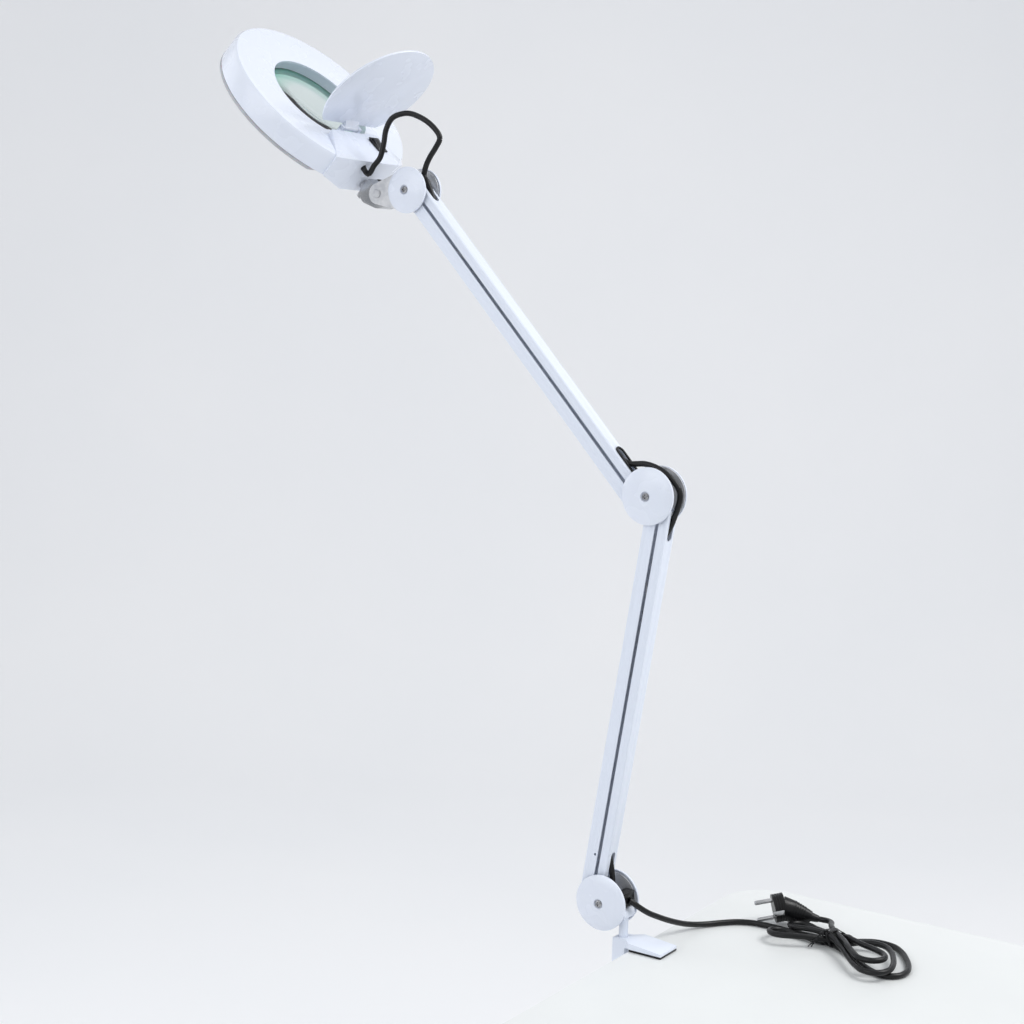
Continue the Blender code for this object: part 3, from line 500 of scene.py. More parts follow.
HX = unit(-RING_TILT)                 # head frame: x towards the neck, y, s up out of the opening
HN = unit(90 - RING_TILT)
HEAD_FRAME = frame((RING[0], 0, RING[1]), HX, Vector((0, 1, 0)), HN)


def on_head(x, s):
    return (RING[0] + HX.x * x + HN.x * s, RING[1] + HX.z * x + HN.z * s)


def at_head(x, y, s):
    px, pz = on_head(x, s)
    return (px, y, pz)


TILT = on_head(*TILT_PIN)


# ---------------------------------------------------------------- clamp
SPINE = (-42.4, -27.9)
JAW_TIP, JAW_Y, SPINE_Y = 18.65, 17.0, 9.0

arm_profile = [(SPINE[0], 7.5), (-26.0, 8.8), (-18.0, 8.6), (JAW_TIP, 5.2), (JAW_TIP, 2.3),
               (-20.0, 2.3), (-27.9, -1.0), (SPINE[1], -64.0), (-22.0, -69.0), (-9.0, -69.0),
               (-9.0, -78.0), (SPINE[0] + 5, -78.0), (SPINE[0], -73.0)]
clamp = to_mesh(side_plate("clamp_frame", "white_paint", [arm_profile], 0, 2 * JAW_Y))
plan = [(SPINE[0] - 1, -SPINE_Y), (-27.0, -SPINE_Y), (-18.65, -JAW_Y), (JAW_TIP + 1, -JAW_Y),
        (JAW_TIP + 1, JAW_Y), (-18.65, JAW_Y), (-27.0, SPINE_Y), (SPINE[0] - 1, SPINE_Y)]
boolean(clamp, to_mesh(plate("clamp_plan", "", [plan], 200, Matrix.Identity(4), CUTTERS)), "INTERSECT")
boolean(clamp, turned("clamp_boss", "", [(0, -60), (11, -60), (12, -62), (12, -79), (11, -80), (0, -80)],
                      (0, 0, 0), (0, 0, 1), 24, CUTTERS), "UNION")
boolean(clamp, rod("clamp_thread_bore", "", (0, 0, -90), (0, 0, -50), 5.3, 24, CUTTERS))
boolean(clamp, rod("clamp_post_bore", "", (POST_X, 0, -34), (POST_X, 0, 20), POST_R + 0.3, 24, CUTTERS))

box("upper_jaw_pad", "black_rubber", (-JAW_TIP, -JAW_Y + 0.1, 0), (JAW_TIP, JAW_Y - 0.1, 2.0))

turned("clamp_screw", "zinc", [(0, -31), (4, -31), (5, -32.5), (5, -116), (4, -117.5), (0, -117.5)],
       (0, 0, 0), (0, 0, 1), 20)
lobes = []
for i in range(144):
    a = 2 * math.pi * i / 144
    r = 19.0 + 1.6 * math.cos(8 * a)
    lobes.append((r * math.cos(a), r * math.sin(a)))
knob = to_mesh(plate("clamp_knob", "black_plastic", [lobes], 12.0, Matrix.Translation((0, 0, -114 * MM))))
boolean(knob, turned("knob_hub", "", [(0, -100), (8, -100), (9, -102), (9, -116), (0, -116)],
                     (0, 0, 0), (0, 0, 1), 24, CUTTERS), "UNION")
boolean(knob, rod("knob_bore", "", (0, 0, -117.8), (0, 0, -90), 5.3, 20, CUTTERS))
turned("pressure_pad", "zinc", [(0, -25), (15, -25), (16, -26), (16, -28.5), (7.5, -30), (7.5, -36.5),
                                (5.3, -36.5), (5.3, -30.7), (0, -30.7)], (0, 0, 0), (0, 0, 1), 28)

# ---------------------------------------------------------------- swivel post and base knuckle
post = rod("swivel_post", "white_paint", (POST_X, 0, -32), (POST_X, 0, POST_EYE_Z), POST_R, 20)
boolean(post, rod("post_eye", "", (POST_X, -10.6, POST_EYE_Z), (POST_X, 10.6, POST_EYE_Z), 6.5, 24, CUTTERS), "UNION")
boolean(post, rod("post_eye_bore", "", (POST_X, -12, POST_EYE_Z), (POST_X, 12, POST_EYE_Z), HOLE_R, 16, CUTTERS))


def pin(name, look, xz, half, head_r=4.0, head=1.3, r=PIN_R, steps=10):
    """A headed pin across the knuckle, upset at both ends."""
    a = (xz[0], -half - head, xz[1])
    b = (xz[0], half + head, xz[1])
    n = 2 * (half + head)
    return turned(name, look, [(0, n), (head_r * 0.8, n), (head_r, n - head * 0.5), (head_r, n - head),
                               (r, n - head), (r, head), (head_r, head), (head_r, head * 0.5),
                               (head_r * 0.8, 0), (0, 0)], a, b, steps)


def hole(xz, r=HOLE_R, n=10):
    return circle(xz[0], xz[1], r, n)


def disc_pair(prefix, xz, outline, holes):
    for side, label in ((-1, "front"), (1, "rear")):
        side_plate(f"{prefix}_plate_{label}", "zinc", [outline] + holes, side * (PLATE_IN + PLATE_OUT) / 2,
                   PLATE_OUT - PLATE_IN)


def cover(name, xz, side, radius, bored):
    """A shallow domed cap; `side` is -1 at the front."""
    k = radius
    prof = [(k, 14.9), (k, COVER_IN), (k - 1.0, COVER_IN), (k - 1.2, 14.0), (k * 0.55, 16.4),
            (4.1, 16.8), (3.9, COVER_IN)]
    top = [(4.4, 17.6), (5.2, 19.4), (k * 0.62, 18.3), (k * 0.9, 16.6)]
    if bored:
        prof = [(2.35, 17.6)] + top + prof + [(2.35, COVER_IN)]
    else:
        prof = [(0, 17.6)] + top + prof + [(0, COVER_IN)]
    start = (xz[0], 0, xz[1])
    return turned(name, "white_plastic", prof, start, (xz[0], side, xz[1]), 22)


def cover_screw(name, xz, side, tail):
    return turned(name, "screw", [(0, 20.0), (2.6, 20.0), (3.8, 18.9), (3.8, 17.9), (2.0, 17.9), (2.0, tail), (0, tail)],
                  (xz[0], 0, xz[1]), (xz[0], side, xz[1]), 16)


def cross_recess(ob, xz, side):
    lo, hi = sorted((side * 18.7, side * 20.6))
    for i, (a, b) in enumerate(((0.55, 2.3), (2.3, 0.55))):
        boolean(ob, box(f"{ob.name}_cross_{side}_{i}", "", (xz[0] - a, lo, xz[1] - b), (xz[0] + a, hi, xz[1] + b), None, CUTTERS))
    return ob


SCREW_HOLE = 2.35
disc_pair("base", BASE, circle(*BASE, 26.5, 32),
          [hole(B_OUT), hole(B_IN), hole((POST_X, POST_EYE_Z)), hole(BASE, SCREW_HOLE)])
cover("base_cover_front", BASE, -1, COVER_R, True)
cover("base_cover_rear", BASE, 1, COVER_R, False)
cross_recess(cover_screw("base_screw", BASE, -1, 10.9), BASE, -1)
pin("base_rivet_outer", "zinc", B_OUT, 12.6, 3.4)
pin("base_rivet_inner", "zinc", B_IN, 12.6, 3.4)
pin("post_bolt", "zinc", (POST_X, POST_EYE_Z), 12.6, 3.9)

CLIP = (-35.1, 48.3)
clip = box("cord_clip", "black_rubber", (CLIP[0] - 5.6, -10.6, CLIP[1] - 7.4), (CLIP[0] + 5.6, 10.6, CLIP[1] + 7.6))
boolean(clip, box("clip_corner", "", (CLIP[0] - 20, -20, 30), (CLIP[0] - 4.5, 20, 42.5), None, CUTTERS))
boolean(clip, rod("clip_bore", "", (-50.0, 0, 49.2), (-20.0, 0, 45.4), CABLE_R + 0.5, 16, CUTTERS))


# ---------------------------------------------------------------- arms
def channel(name, origin, u, w, half, web_side, web_at, edge_at, length, cuts):
    """A U channel along u: its web lies at web_at on the w axis and its flanges reach edge_at."""
    inner_web = web_at - web_side * SHEET
    outline = [(edge_at, -half), (web_at - web_side * 1.0, -half), (web_at, -half + 1.0), (web_at, half - 1.0),
               (web_at - web_side * 1.0, half), (edge_at, half), (edge_at, half - SHEET), (inner_web, half - SHEET),
               (inner_web, -half + SHEET), (edge_at, -half + SHEET)]
    mid = add(origin, u, length / 2)
    # local X along w, local Y along world Y, local Z along the arm
    z_axis = w.cross(Vector((0, 1, 0)))
    m = frame((mid[0], 0, mid[1]), w, Vector((0, 1, 0)), z_axis)
    ob = to_mesh(plate(name, "white_paint", [outline], length + 12.0, m))
    for cutter in cuts:
        boolean(ob, cutter, solver="MANIFOLD")
    return ob


def across(name, xz, r=HOLE_R, steps=14):
    return rod(name, "", (xz[0], -14, xz[1]), (xz[0], 14, xz[1]), r, steps, CUTTERS)


def slot(name, origin, u, w, s0, s1, half_y, at):
    """A round-ended slot through a web, s0 to s1 along the arm."""
    r = half_y
    pts = [(s1 - r + r * math.sin(a), r * math.cos(a)) for a in [math.pi * i / 16 for i in range(17)]]
    pts += [(s0 + r - r * math.sin(a), -r * math.cos(a)) for a in [math.pi * i / 16 for i in range(17)]]
    mid = add(origin, w, at)
    return to_mesh(plate(name, "", [pts], 6.0, frame((mid[0], 0, mid[1]), u, Vector((0, 1, 0)), u.cross(Vector((0, 1, 0)))), CUTTERS))


WEB_IN, EDGE_IN = 5.2, -4.5        # inner channel, from its pivot line
WEB_OUT, EDGE_OUT = -7.0, 6.5      # outer channel, from its pivot line

channel("lower_outer_channel", B_OUT, U1, W1, 10.5, -1, WEB_OUT, EDGE_OUT, ARM,
        [across("cut_b_out", B_OUT), across("cut_e_out", E_OUT),
         rod("cut_dot", "", (add(add(B_OUT, U1, 49), W1, 3.6)[0], -14, add(add(B_OUT, U1, 49), W1, 3.6)[1]),
             (add(add(B_OUT, U1, 49), W1, 3.6)[0], 0, add(add(B_OUT, U1, 49), W1, 3.6)[1]), 1.4, 12, CUTTERS)])
channel("lower_inner_channel", B_IN, U1, W1, 9.0, 1, WEB_IN, EDGE_IN, ARM,
        [across("cut_b_in", B_IN), across("cut_e_in", E_IN),
         slot("cut_low_exit", B_IN, U1, W1, 22, 54, 4.0, WEB_IN),
         slot("cut_low_entry", B_IN, U1, W1, ARM - 26, ARM + 20, 4.6, WEB_IN)])
channel("upper_outer_channel", F_OUT, U2, W2, 10.5, -1, WEB_OUT, EDGE_OUT, ARM,
        [across("cut_f_out", F_OUT), across("cut_g_out", G_OUT)])
channel("upper_inner_channel", F_IN, U2, W2, 9.0, 1, WEB_IN, EDGE_IN, ARM,
        [across("cut_f_in", F_IN), across("cut_g_in", G_IN),
         slot("cut_up_entry", F_IN, U2, W2, 18, 50, 4.2, WEB_IN),
         slot("cut_up_exit", F_IN, U2, W2, ARM - 22, ARM + 20, 4.6, WEB_IN)])


def grommet(name, origin, u, w, s0, s1):
    """An oval rubber edge guard lying on the web around its slot."""
    def oval(a, b, r):
        pts = [(b - r + r * math.sin(t), r * math.cos(t)) for t in [math.pi * i / 14 for i in range(15)]]
        return pts + [(a + r - r * math.sin(t), -r * math.cos(t)) for t in [math.pi * i / 14 for i in range(15)]]
    mid = add(origin, w, WEB_IN + 0.3 + 0.7)
    return plate(name, "black_rubber", [oval(s0, s1, 6.2), oval(s0 + 2.4, s1 - 2.4, 3.8)], 1.4,
                 frame((mid[0], 0, mid[1]), u, Vector((0, 1, 0)), u.cross(Vector((0, 1, 0)))))


grommet("cable_grommet", F_IN, U2, W2, 15.4, 52.6)

# ---------------------------------------------------------------- elbow knuckle
disc_pair("elbow", ELBOW, circle(*ELBOW, 28.2, 32),
          [hole(E_OUT), hole(E_IN), hole(F_OUT), hole(F_IN), hole(ELBOW, SCREW_HOLE)])
cover("elbow_cover_front", ELBOW, -1, COVER_R, True)
cover("elbow_cover_rear", ELBOW, 1, COVER_R, True)
pin("elbow_rivet_lower_outer", "zinc", E_OUT, 12.6, 3.4)
pin("elbow_rivet_lower_inner", "zinc", E_IN, 12.6, 2.7)
pin("elbow_rivet_upper_outer", "zinc", F_OUT, 12.6, 2.85)
pin("elbow_rivet_upper_inner", "zinc", F_IN, 12.6, 3.4)
turned("elbow_bolt", "screw", [(0, 20), (2.6, 20), (3.8, 18.9), (3.8, 17.9), (2, 17.9), (2, -17.9), (3.8, -17.9),
                              (3.8, -18.9), (2.6, -20), (0, -20)], (ELBOW[0], 0, ELBOW[1]),
       (ELBOW[0], -1, ELBOW[1]), 16)

cross_recess(MADE["elbow_bolt"], ELBOW, -1)
cross_recess(MADE["elbow_bolt"], ELBOW, 1)

# ---------------------------------------------------------------- head link and tilt block
def belt(c0, r0, c1, r1, n=60):
    """Outline of a belt round two circles."""
    d = Vector((c1[0] - c0[0], c1[1] - c0[1]))
    base = math.atan2(d.y, d.x)
    off = math.acos((r0 - r1) / d.length)
    pts = []
    for i in range(n + 1):
        a = base + off + (2 * math.pi - 2 * off) * i / n
        pts.append((c0[0] + r0 * math.cos(a), c0[1] + r0 * math.sin(a)))
    for i in range(n // 2 + 1):
        a = base - off + 2 * off * i / (n // 2)
        pts.append((c1[0] + r1 * math.cos(a), c1[1] + r1 * math.sin(a)))
    return pts


link_outline = belt(HEAD, 23.0, TILT, 11.0)
disc_pair("head_link", HEAD, link_outline, [hole(G_OUT), hole(G_IN), hole(TILT, 3.3), hole(HEAD, SCREW_HOLE)])
cover("head_cover_front", HEAD, -1, HEAD_COVER_R, True)
cover("head_cover_rear", HEAD, 1, HEAD_COVER_R, False)
cross_recess(cover_screw("head_screw", HEAD, -1, 10.9), HEAD, -1)
pin("head_rivet_outer", "zinc", G_OUT, 12.6, 3.4)
pin("head_rivet_inner", "zinc", G_IN, 12.6, 3.4)
pin("tilt_pin", "zinc", TILT, 12.8, 4.6, 2.4, 3.0, 20)

block_outline = belt(TILT_PIN, 15.5, (129.0, STUD_S), 9.0)
block = to_mesh(plate("tilt_block", "chrome", [block_outline], 21.2, HEAD_FRAME @ SIDE))
boolean(block, box("tilt_block_flange", "", (117.9, -10.6, -30), (124, 10.6, -6), HEAD_FRAME, CUTTERS), "UNION")
boolean(block, box("tilt_block_trim", "", (90, -20, -60), (117.9, 20, 60), HEAD_FRAME, CUTTERS))
boolean(block, rod("tilt_stud", "", at_head(84, 0, STUD_S), at_head(125, 0, STUD_S), 3.0, 16, CUTTERS), "UNION")
boolean(block, across("tilt_bore", TILT, 3.3, 20))

nut = plate("swivel_nut", "chrome", [[((5.75 + 0.2 * (i % 2)) * math.cos(math.pi * i / 16), (5.75 + 0.2 * (i % 2)) * math.sin(math.pi * i / 16)) for i in range(32)],
                                     circle(0, 0, 3.35, 16)], 6.6,
            along(at_head(114.0, 0, STUD_S), at_head(115.0, 0, STUD_S)))

# ---------------------------------------------------------------- head
A0, A1 = at_head(0, 0, 0), at_head(0, 0, 1)
shell = turned("head_shell", "white_plastic",
               [(OPENING_R, 0.0), (104.5, 3.5), (109.5, 2.4), (112.0, -1.5), (RING_R, -24.0), (110.1, -24.0),
                (109.6, -2.6), (104.0, 0.7), (67.0, -2.4), (66.4, -18.0), (64.0, -18.0), (64.0, -2.7), (OPENING_R, -2.4)],
               A0, A1, 48)
boolean(shell, box("neck_face_trim", "", (106.5, -34, -60), (130, 34, 60), HEAD_FRAME, CUTTERS))
# flat land under the cover's hinge
boolean(shell, to_mesh(plate("hinge_land", "", [[(51, -34), (64.5, -16), (64.5, 16), (51, 34)]], 2.4,
                             HEAD_FRAME @ Matrix.Translation((0, 0, -1.2 * MM)), CUTTERS)), "UNION")
neck = []
for y in (-1, 1):
    neck += [(60, 37 * y, 8.0), (79, 39 * y, 9.2), (97, 50 * y, 8.5), (99.5, 57 * y, 3.0), (110, 32 * y, 10.6),
             (60, 37 * y, -0.5), (97, 50 * y, -24.0), (99.5, 57 * y, -24.0), (110, 32 * y, -31.0), (100, 32 * y, -31.0),
             (99.5, 57 * y, -1.0)]
boolean(shell, hull("neck_boss", "", neck, HEAD_FRAME, CUTTERS), "UNION")
boolean(shell, hull("neck_hollow", "", [(x, y, s) for x in (69.5, 96.0) for y in (-33, 33) for s in (-26, -4)]
                    + [(x, y, 5.5) for x in (72, 92) for y in (-8, 8)], HEAD_FRAME, CUTTERS))
boolean(shell, rod("neck_stud_bore", "", at_head(80, 0, STUD_S), at_head(112, 0, STUD_S), 3.5, 16, CUTTERS))
boolean(shell, rod("neck_cord_bore", "", at_head(92, -20, 1.5), at_head(113, -20, 1.5), CABLE_R + 0.6, 16, CUTTERS))
SWITCH = (79.0, 24.0)
boolean(shell, box("switch_pocket", "", (SWITCH[0] - 9.8, SWITCH[1] - 6.8, -5.0), (SWITCH[0] + 9.8, SWITCH[1] + 6.8, 14), HEAD_FRAME, CUTTERS))
for y in (-1, 1):
    boolean(shell, box(f"hinge_ear_{y}", "", (51.0, min(11.4 * y, 16 * y), -1.0), (56.5, max(11.4 * y, 16 * y), 9.6), HEAD_FRAME, CUTTERS), "UNION")
boolean(shell, rod("hinge_bore", "", at_head(HINGE[0], -20, HINGE[1]), at_head(HINGE[0], 20, HINGE[1]), 1.7, 12, CUTTERS))

turned("diffuser_ring", "diffuser", [(60.6, -17.0), (63.2, -17.0), (63.4, -24.4), (112.4, -24.4), (112.9, -25.0), (112.6, -27.8),
                                     (61.0, -27.8)], A0, A1, 48)
boolean(MADE["diffuser_ring"], box("diffuser_neck_trim", "", (88.0, -70, -40), (130, 70, -10), HEAD_FRAME, CUTTERS))
lens = [(0, -9.0), (20, -9.45), (40, -10.75), (LENS_R, -13.2), (LENS_R, -16.6), (40, -19.0), (20, -20.3), (0, -20.8)]
turned("lens", "glass", lens, A0, A1, 40)
turned("led_ring", "board", [(72.0, -15.0), (66.9 + 38, -15.0), (66.9 + 38, -16.6), (72.0, -16.6)], A0, A1, 36)
boolean(MADE["led_ring"], box("led_ring_trim", "", (60.0, -64, -30), (130, 64, -5), HEAD_FRAME, CUTTERS))

TOP = 9.9
switch = box("switch_frame", "black_plastic", (SWITCH[0] - 9.5, SWITCH[1] - 6.5, -4.0), (SWITCH[0] + 9.5, SWITCH[1] + 6.5, TOP + 1), HEAD_FRAME)
boolean(switch, box("switch_flange", "", (SWITCH[0] - 10.5, SWITCH[1] - 7.5, TOP), (SWITCH[0] + 10.5, SWITCH[1] + 7.5, TOP + 1.6), HEAD_FRAME, CUTTERS), "UNION")
boolean(switch, box("switch_well", "", (SWITCH[0] - 8.6, SWITCH[1] - 5.4, TOP - 5.4), (SWITCH[0] + 8.6, SWITCH[1] + 5.4, TOP + 5), HEAD_FRAME, CUTTERS))
rocker_points = []
for y in (SWITCH[1] - 5.0, SWITCH[1] + 5.0):
    rocker_points += [(SWITCH[0] + x, y, TOP + s) for x, s in ((-8.0, 3.6), (-0.5, 1.9), (8.0, 1.3), (7.4, -1.2), (0, -4.3), (-7.4, -1.2))]
hull("switch_rocker", "black_plastic", rocker_points, HEAD_FRAME)

# flip cover, drawn shut in the head's frame and swung open about its hinge
OPEN = (HEAD_FRAME @ Matrix.Translation((HINGE[0] * MM, 0, HINGE[1] * MM))
        @ Matrix.Rotation(math.radians(COVER_OPEN), 4, "Y")
        @ Matrix.Translation((-HINGE[0] * MM, 0, -HINGE[1] * MM)))
chord = math.acos(50.2 / COVER_DISC_R)
disc = [(COVER_DISC_R * math.cos(chord + (2 * math.pi - 2 * chord) * i / 160),
         COVER_DISC_R * math.sin(chord + (2 * math.pi - 2 * chord) * i / 160)) for i in range(161)]
flip = to_mesh(plate("flip_cover", "white_plastic", [disc], 2.0, OPEN @ Matrix.Translation((0, 0, 1.9 * MM))))
boolean(flip, hull("cover_lug", "", [(x, y, s) for y in (-11, 11) for x, s in ((44, 2.4), (44, 1.0), (50, 0.8), (55, 5.0), (52, 9.0))], OPEN, CUTTERS), "UNION")
hinge_at = at_head(HINGE[0], 0, HINGE[1])
boolean(flip, rod("cover_barrel", "", (hinge_at[0], -11, hinge_at[2]), (hinge_at[0], 11, hinge_at[2]), 2.9, 20, CUTTERS), "UNION")
boolean(flip, rod("cover_stubs", "", (hinge_at[0], -15, hinge_at[2]), (hinge_at[0], 15, hinge_at[2]), 1.4, 12, CUTTERS), "UNION")


# ---------------------------------------------------------------- springs
def spring(name, origin, u, w):
    """A wound tension spring with a hook at each end."""
    def p(s, at, y=3.9):
        x, z = add(add(origin, u, s), w, at)
        return Vector((x, y, z))
    line = [p(118, 3.4), p(124, 2.0), p(146, -0.8), p(150, -1.2), p(170, -2.2), p(230, -5.2), p(290, -8.2), p(310, -9.2),
            p(314, -9.6), p(336, -13.0), p(342, -16.0)]
    lo, hi = line[3], line[7]
    axis = (hi - lo).normalized()
    across_ = axis.cross(Vector((0, 1, 0))).normalized()
    third = axis.cross(across_)
    turns, length = 96, (hi - lo).length
    pts = [line[0], line[1], line[2]]
    for i in range(turns * 12 + 1):
        a = 2 * math.pi * i / 12
        pts.append(lo + axis * (length * i / (turns * 12)) + (across_ * math.cos(a) + third * math.sin(a)) * 2.75)
    pts += line[8:]
    return tube(name, "zinc", pts, 0.72, resolution=1)


spring("lower_spring", B_IN, U1, W1)
spring("upper_spring", F_IN, U2, W2)


# ---------------------------------------------------------------- cables held by the arms
def arm_point(origin, u, w):
    def at(s, across_, y):
        x, z = add(add(origin, u, s), w, across_)
        return (x, y, z)
    return at


LP, UP = arm_point(B_IN, U1, W1), arm_point(F_IN, U2, W2)

BASE_CABLE = [(-41.7, 0, 48.4), (-46, 0, 52), (-49.3, 0, 59), (-50.2, 0, 66), LP(33, 7.0, 0), LP(42, 3.8, 0), LP(52, 0.9, -1.6)]
tube("base_cable", "black_rubber", BASE_CABLE, CABLE_R, spacing=2)
LOWER_CABLE = [LP(53.2, 0.8, -1.8), LP(75, 0.6, -4.3), LP(200, 0.6, -4.4), LP(310, 0.6, -4.4), LP(345, -3.0, -4.6), LP(362, -4.0, -4.6),
               LP(377.0, -2.8, -4.2)]
tube("lower_cable", "black_rubber", LOWER_CABLE, CABLE_R, spacing=6)
ELBOW_CORD = [LP(377.8, -2.6, -4.1), LP(386, -0.8, -2.8), LP(395, 2.2, -1.0), LP(404, 5.0, 0), LP(412.7, 6.8, 0), (8.6, 0, 457.0), (10.8, 0, 466.5), (9.3, 0, 475.3), (2.2, 0, 483.7),
              (-7.3, 0, 490.9), (-18.8, 0, 496.0), (-30.4, 0, 498.2), (-40.6, 0, 497.5), UP(31.0, 5.6, 0), UP(40.0, 1.6, -1.2), UP(50, -2.0, -3.6)]
elbow_line = catmull(ELBOW_CORD, 2.5)
UPPER_CABLE = [UP(51.2, -2.3, -3.9), UP(62, -3.6, -4.6), UP(90, 0.4, -4.4), UP(200, 0.6, -4.4), UP(330, 0.6, -4.2), UP(375, 0.5, -2.6), UP(387.3, 0.5, -1.0)]
tube("upper_cable", "black_rubber", UPPER_CABLE, CABLE_R, spacing=6)
SHIFT = -55.15
HEAD_CORD = [UP(388.3, 0.6, -0.9), UP(397, 2.6, -0.4), UP(406, 5.4, 0), UP(416, 8.2, 0), (-258.6 + SHIFT, 0, 785.7), (-256.2 + SHIFT, 0, 796.2), (-251.2 + SHIFT, 0, 805.5),
             (-243.5 + SHIFT, 0, 815.8), (-238.8 + SHIFT, 0, 825.1), (-244.7 + SHIFT, -1, 834.5), (-256.6 + SHIFT, -3, 844.0),
             (-272.6 + SHIFT, -5, 850.7), (-283.8 + SHIFT, -8, 850.9), (-294.8 + SHIFT, -11, 846.2), (-300.2 + SHIFT, -14, 834.0),
             (-300.6 + SHIFT, -17, 819.0), (-303.3 + SHIFT, -19, 804.9), (-310.5 + SHIFT, -20, 796.3), at_head(110.6 + 9, -20, 1.5),
             at_head(106, -20, 1.5), at_head(97.0, -20, 1.5)]
head_line = catmull(HEAD_CORD, 2.5)



def nearest(line, at):
    return min(range(len(line)), key=lambda i: (line[i] - Vector(at)).length)


# each free loop is cut where it rides wholly on one body
cut = nearest(elbow_line, (9.3, 0, 475.3))
tube("elbow_cord_lower", "black_rubber", elbow_line[:cut + 1], CABLE_R)
tube("elbow_cord_upper", "black_rubber", elbow_line[cut:], CABLE_R)
cut_a, cut_b = nearest(head_line, (-293.95, 0, 825.1)), nearest(head_line, (-353.0, -12.5, 840.0))
tube("head_cord_lower", "black_rubber", head_line[:cut_a + 1], CABLE_R)
tube("head_cord_middle", "black_rubber", head_line[cut_a:cut_b + 1], CABLE_R)
tube("head_cord_upper", "black_rubber", head_line[cut_b:], CABLE_R)

# ---------------------------------------------------------------- mains cord
# from the clip at the base knuckle, down to the desk and along it, then wound into the hank
MAINS = [
    (-28.6, 0, 46.9), (-26.6, 0.6, 46), (-23.6, 3.5, 42.8), (-19.7, 9, 37.8), (-15.5, 17, 32), (-11.5, 28, 26.2),
    (-7.6, 42, 19.6), (-4, 56, 13.8), (-0.5, 70, 8.8), (4.5, 85, 5), (12, 99, 3.3), (21, 111.5, 3.1), (33, 124.5, 3.1),
    (46, 132, 3.1), (60, 134.5, 3.1), (76, 134.6, 3.1), (92, 134, 3.1), (112, 134.5, 3.1), (128, 135.5, 3.1),
]
HANK_RUN = [
    (145.1, 135, 3.1), (153, 141.5, 3.1), (163, 152.5, 3.1), (177, 161, 3.1), (196, 160, 3.1), (209, 149.5, 3.1),
    (220, 134, 3.1), (229, 117, 3.1), (233.5, 100, 3.1), (230, 85, 3.1), (219, 77.5, 3.1), (205, 81, 3.1), (187, 94, 3.1),
    (168, 110, 3.1), (154, 120, 3.1), (141.5, 127.3, 3.1), (122, 125, 3.1), (106, 126.3, 3.2), (92, 125.5, 4),
    (81.5, 118.5, 6.8), (79, 108, 10.5), (86, 99.5, 13), (99, 99, 13.6), (114, 107, 12.6), (128, 116, 10.6),
    (140.1, 124.2, 9.4), (157, 127, 9.4), (168, 135.5, 9.4), (181, 141.5, 9.4), (195, 139, 9.4), (206, 127.5, 9.4),
    (214.5, 112, 9.4), (221, 95, 9.4), (223.5, 78, 9.4), (216.5, 64.5, 9.4), (203, 62.5, 9.3), (190, 72, 8.8),
    (174, 90.5, 7.5), (160, 107, 8.8), (139, 121.8, 15.4), (128, 125.5, 14), (116, 129.5, 12.8), (104, 131, 12),
    (94, 133, 10.8), (87, 139, 9), (87, 147, 6.4), (93.5, 152.8, 4.6), (104, 153.5, 3.5), (116, 150.5, 3.2), (128, 145.5, 3.2),
    (143.4, 140.8, 6.2), (153, 131.5, 10.5), (165, 124, 13.8), (182, 114.5, 15.5), (198, 107.5, 15.7), (210, 99, 15.7),
    (213, 85, 15.7), (204, 75, 15.7), (190.5, 77.5, 15.7), (178, 90.5, 15.6), (165, 105.5, 15.2), (155, 118, 15),
    (143.2, 131, 14.6), (136.5, 140.5, 14.4), (131, 149, 13.2), (126.5, 157.5, 11.8), (122.5, 165, 10.6), (118, 170.5, 9.6),
    (112, 173, 9.1),
]
LEAD_END = [(106.1, 171.8, 9.2)]


def read_evenly(points, spacing):
    pts = [np.array(p, float) for p in points]
    pts = [2 * pts[0] - pts[1]] + pts + [2 * pts[-1] - pts[-2]]
    fine = []
    for a, b, c, d in zip(pts, pts[1:], pts[2:], pts[3:]):
        t1 = np.linalg.norm(b - a) ** 0.5
        t2 = t1 + np.linalg.norm(c - b) ** 0.5
        t3 = t2 + np.linalg.norm(d - c) ** 0.5
        for k in range(12):
            t = t1 + (t2 - t1) * k / 12
            a1 = (t1 - t) / t1 * a + t / t1 * b
            a2 = (t2 - t) / (t2 - t1) * b + (t - t1) / (t2 - t1) * c
            a3 = (t3 - t) / (t3 - t2) * c + (t - t2) / (t3 - t2) * d
            b1 = (t2 - t) / t2 * a1 + t / t2 * a2
            b2 = (t3 - t) / (t3 - t1) * a2 + (t - t1) / (t3 - t1) * a3
            fine.append((t2 - t) / (t2 - t1) * b1 + (t - t1) / (t2 - t1) * b2)
    fine.append(pts[-2])
    fine = np.array(fine)
    walked = np.r_[0, np.cumsum(np.linalg.norm(np.diff(fine, axis=0), axis=1))]
    at = np.linspace(0, walked[-1], int(round(walked[-1] / spacing)) + 1)
    return np.stack([np.interp(at, walked, fine[:, i]) for i in range(3)], axis=1)


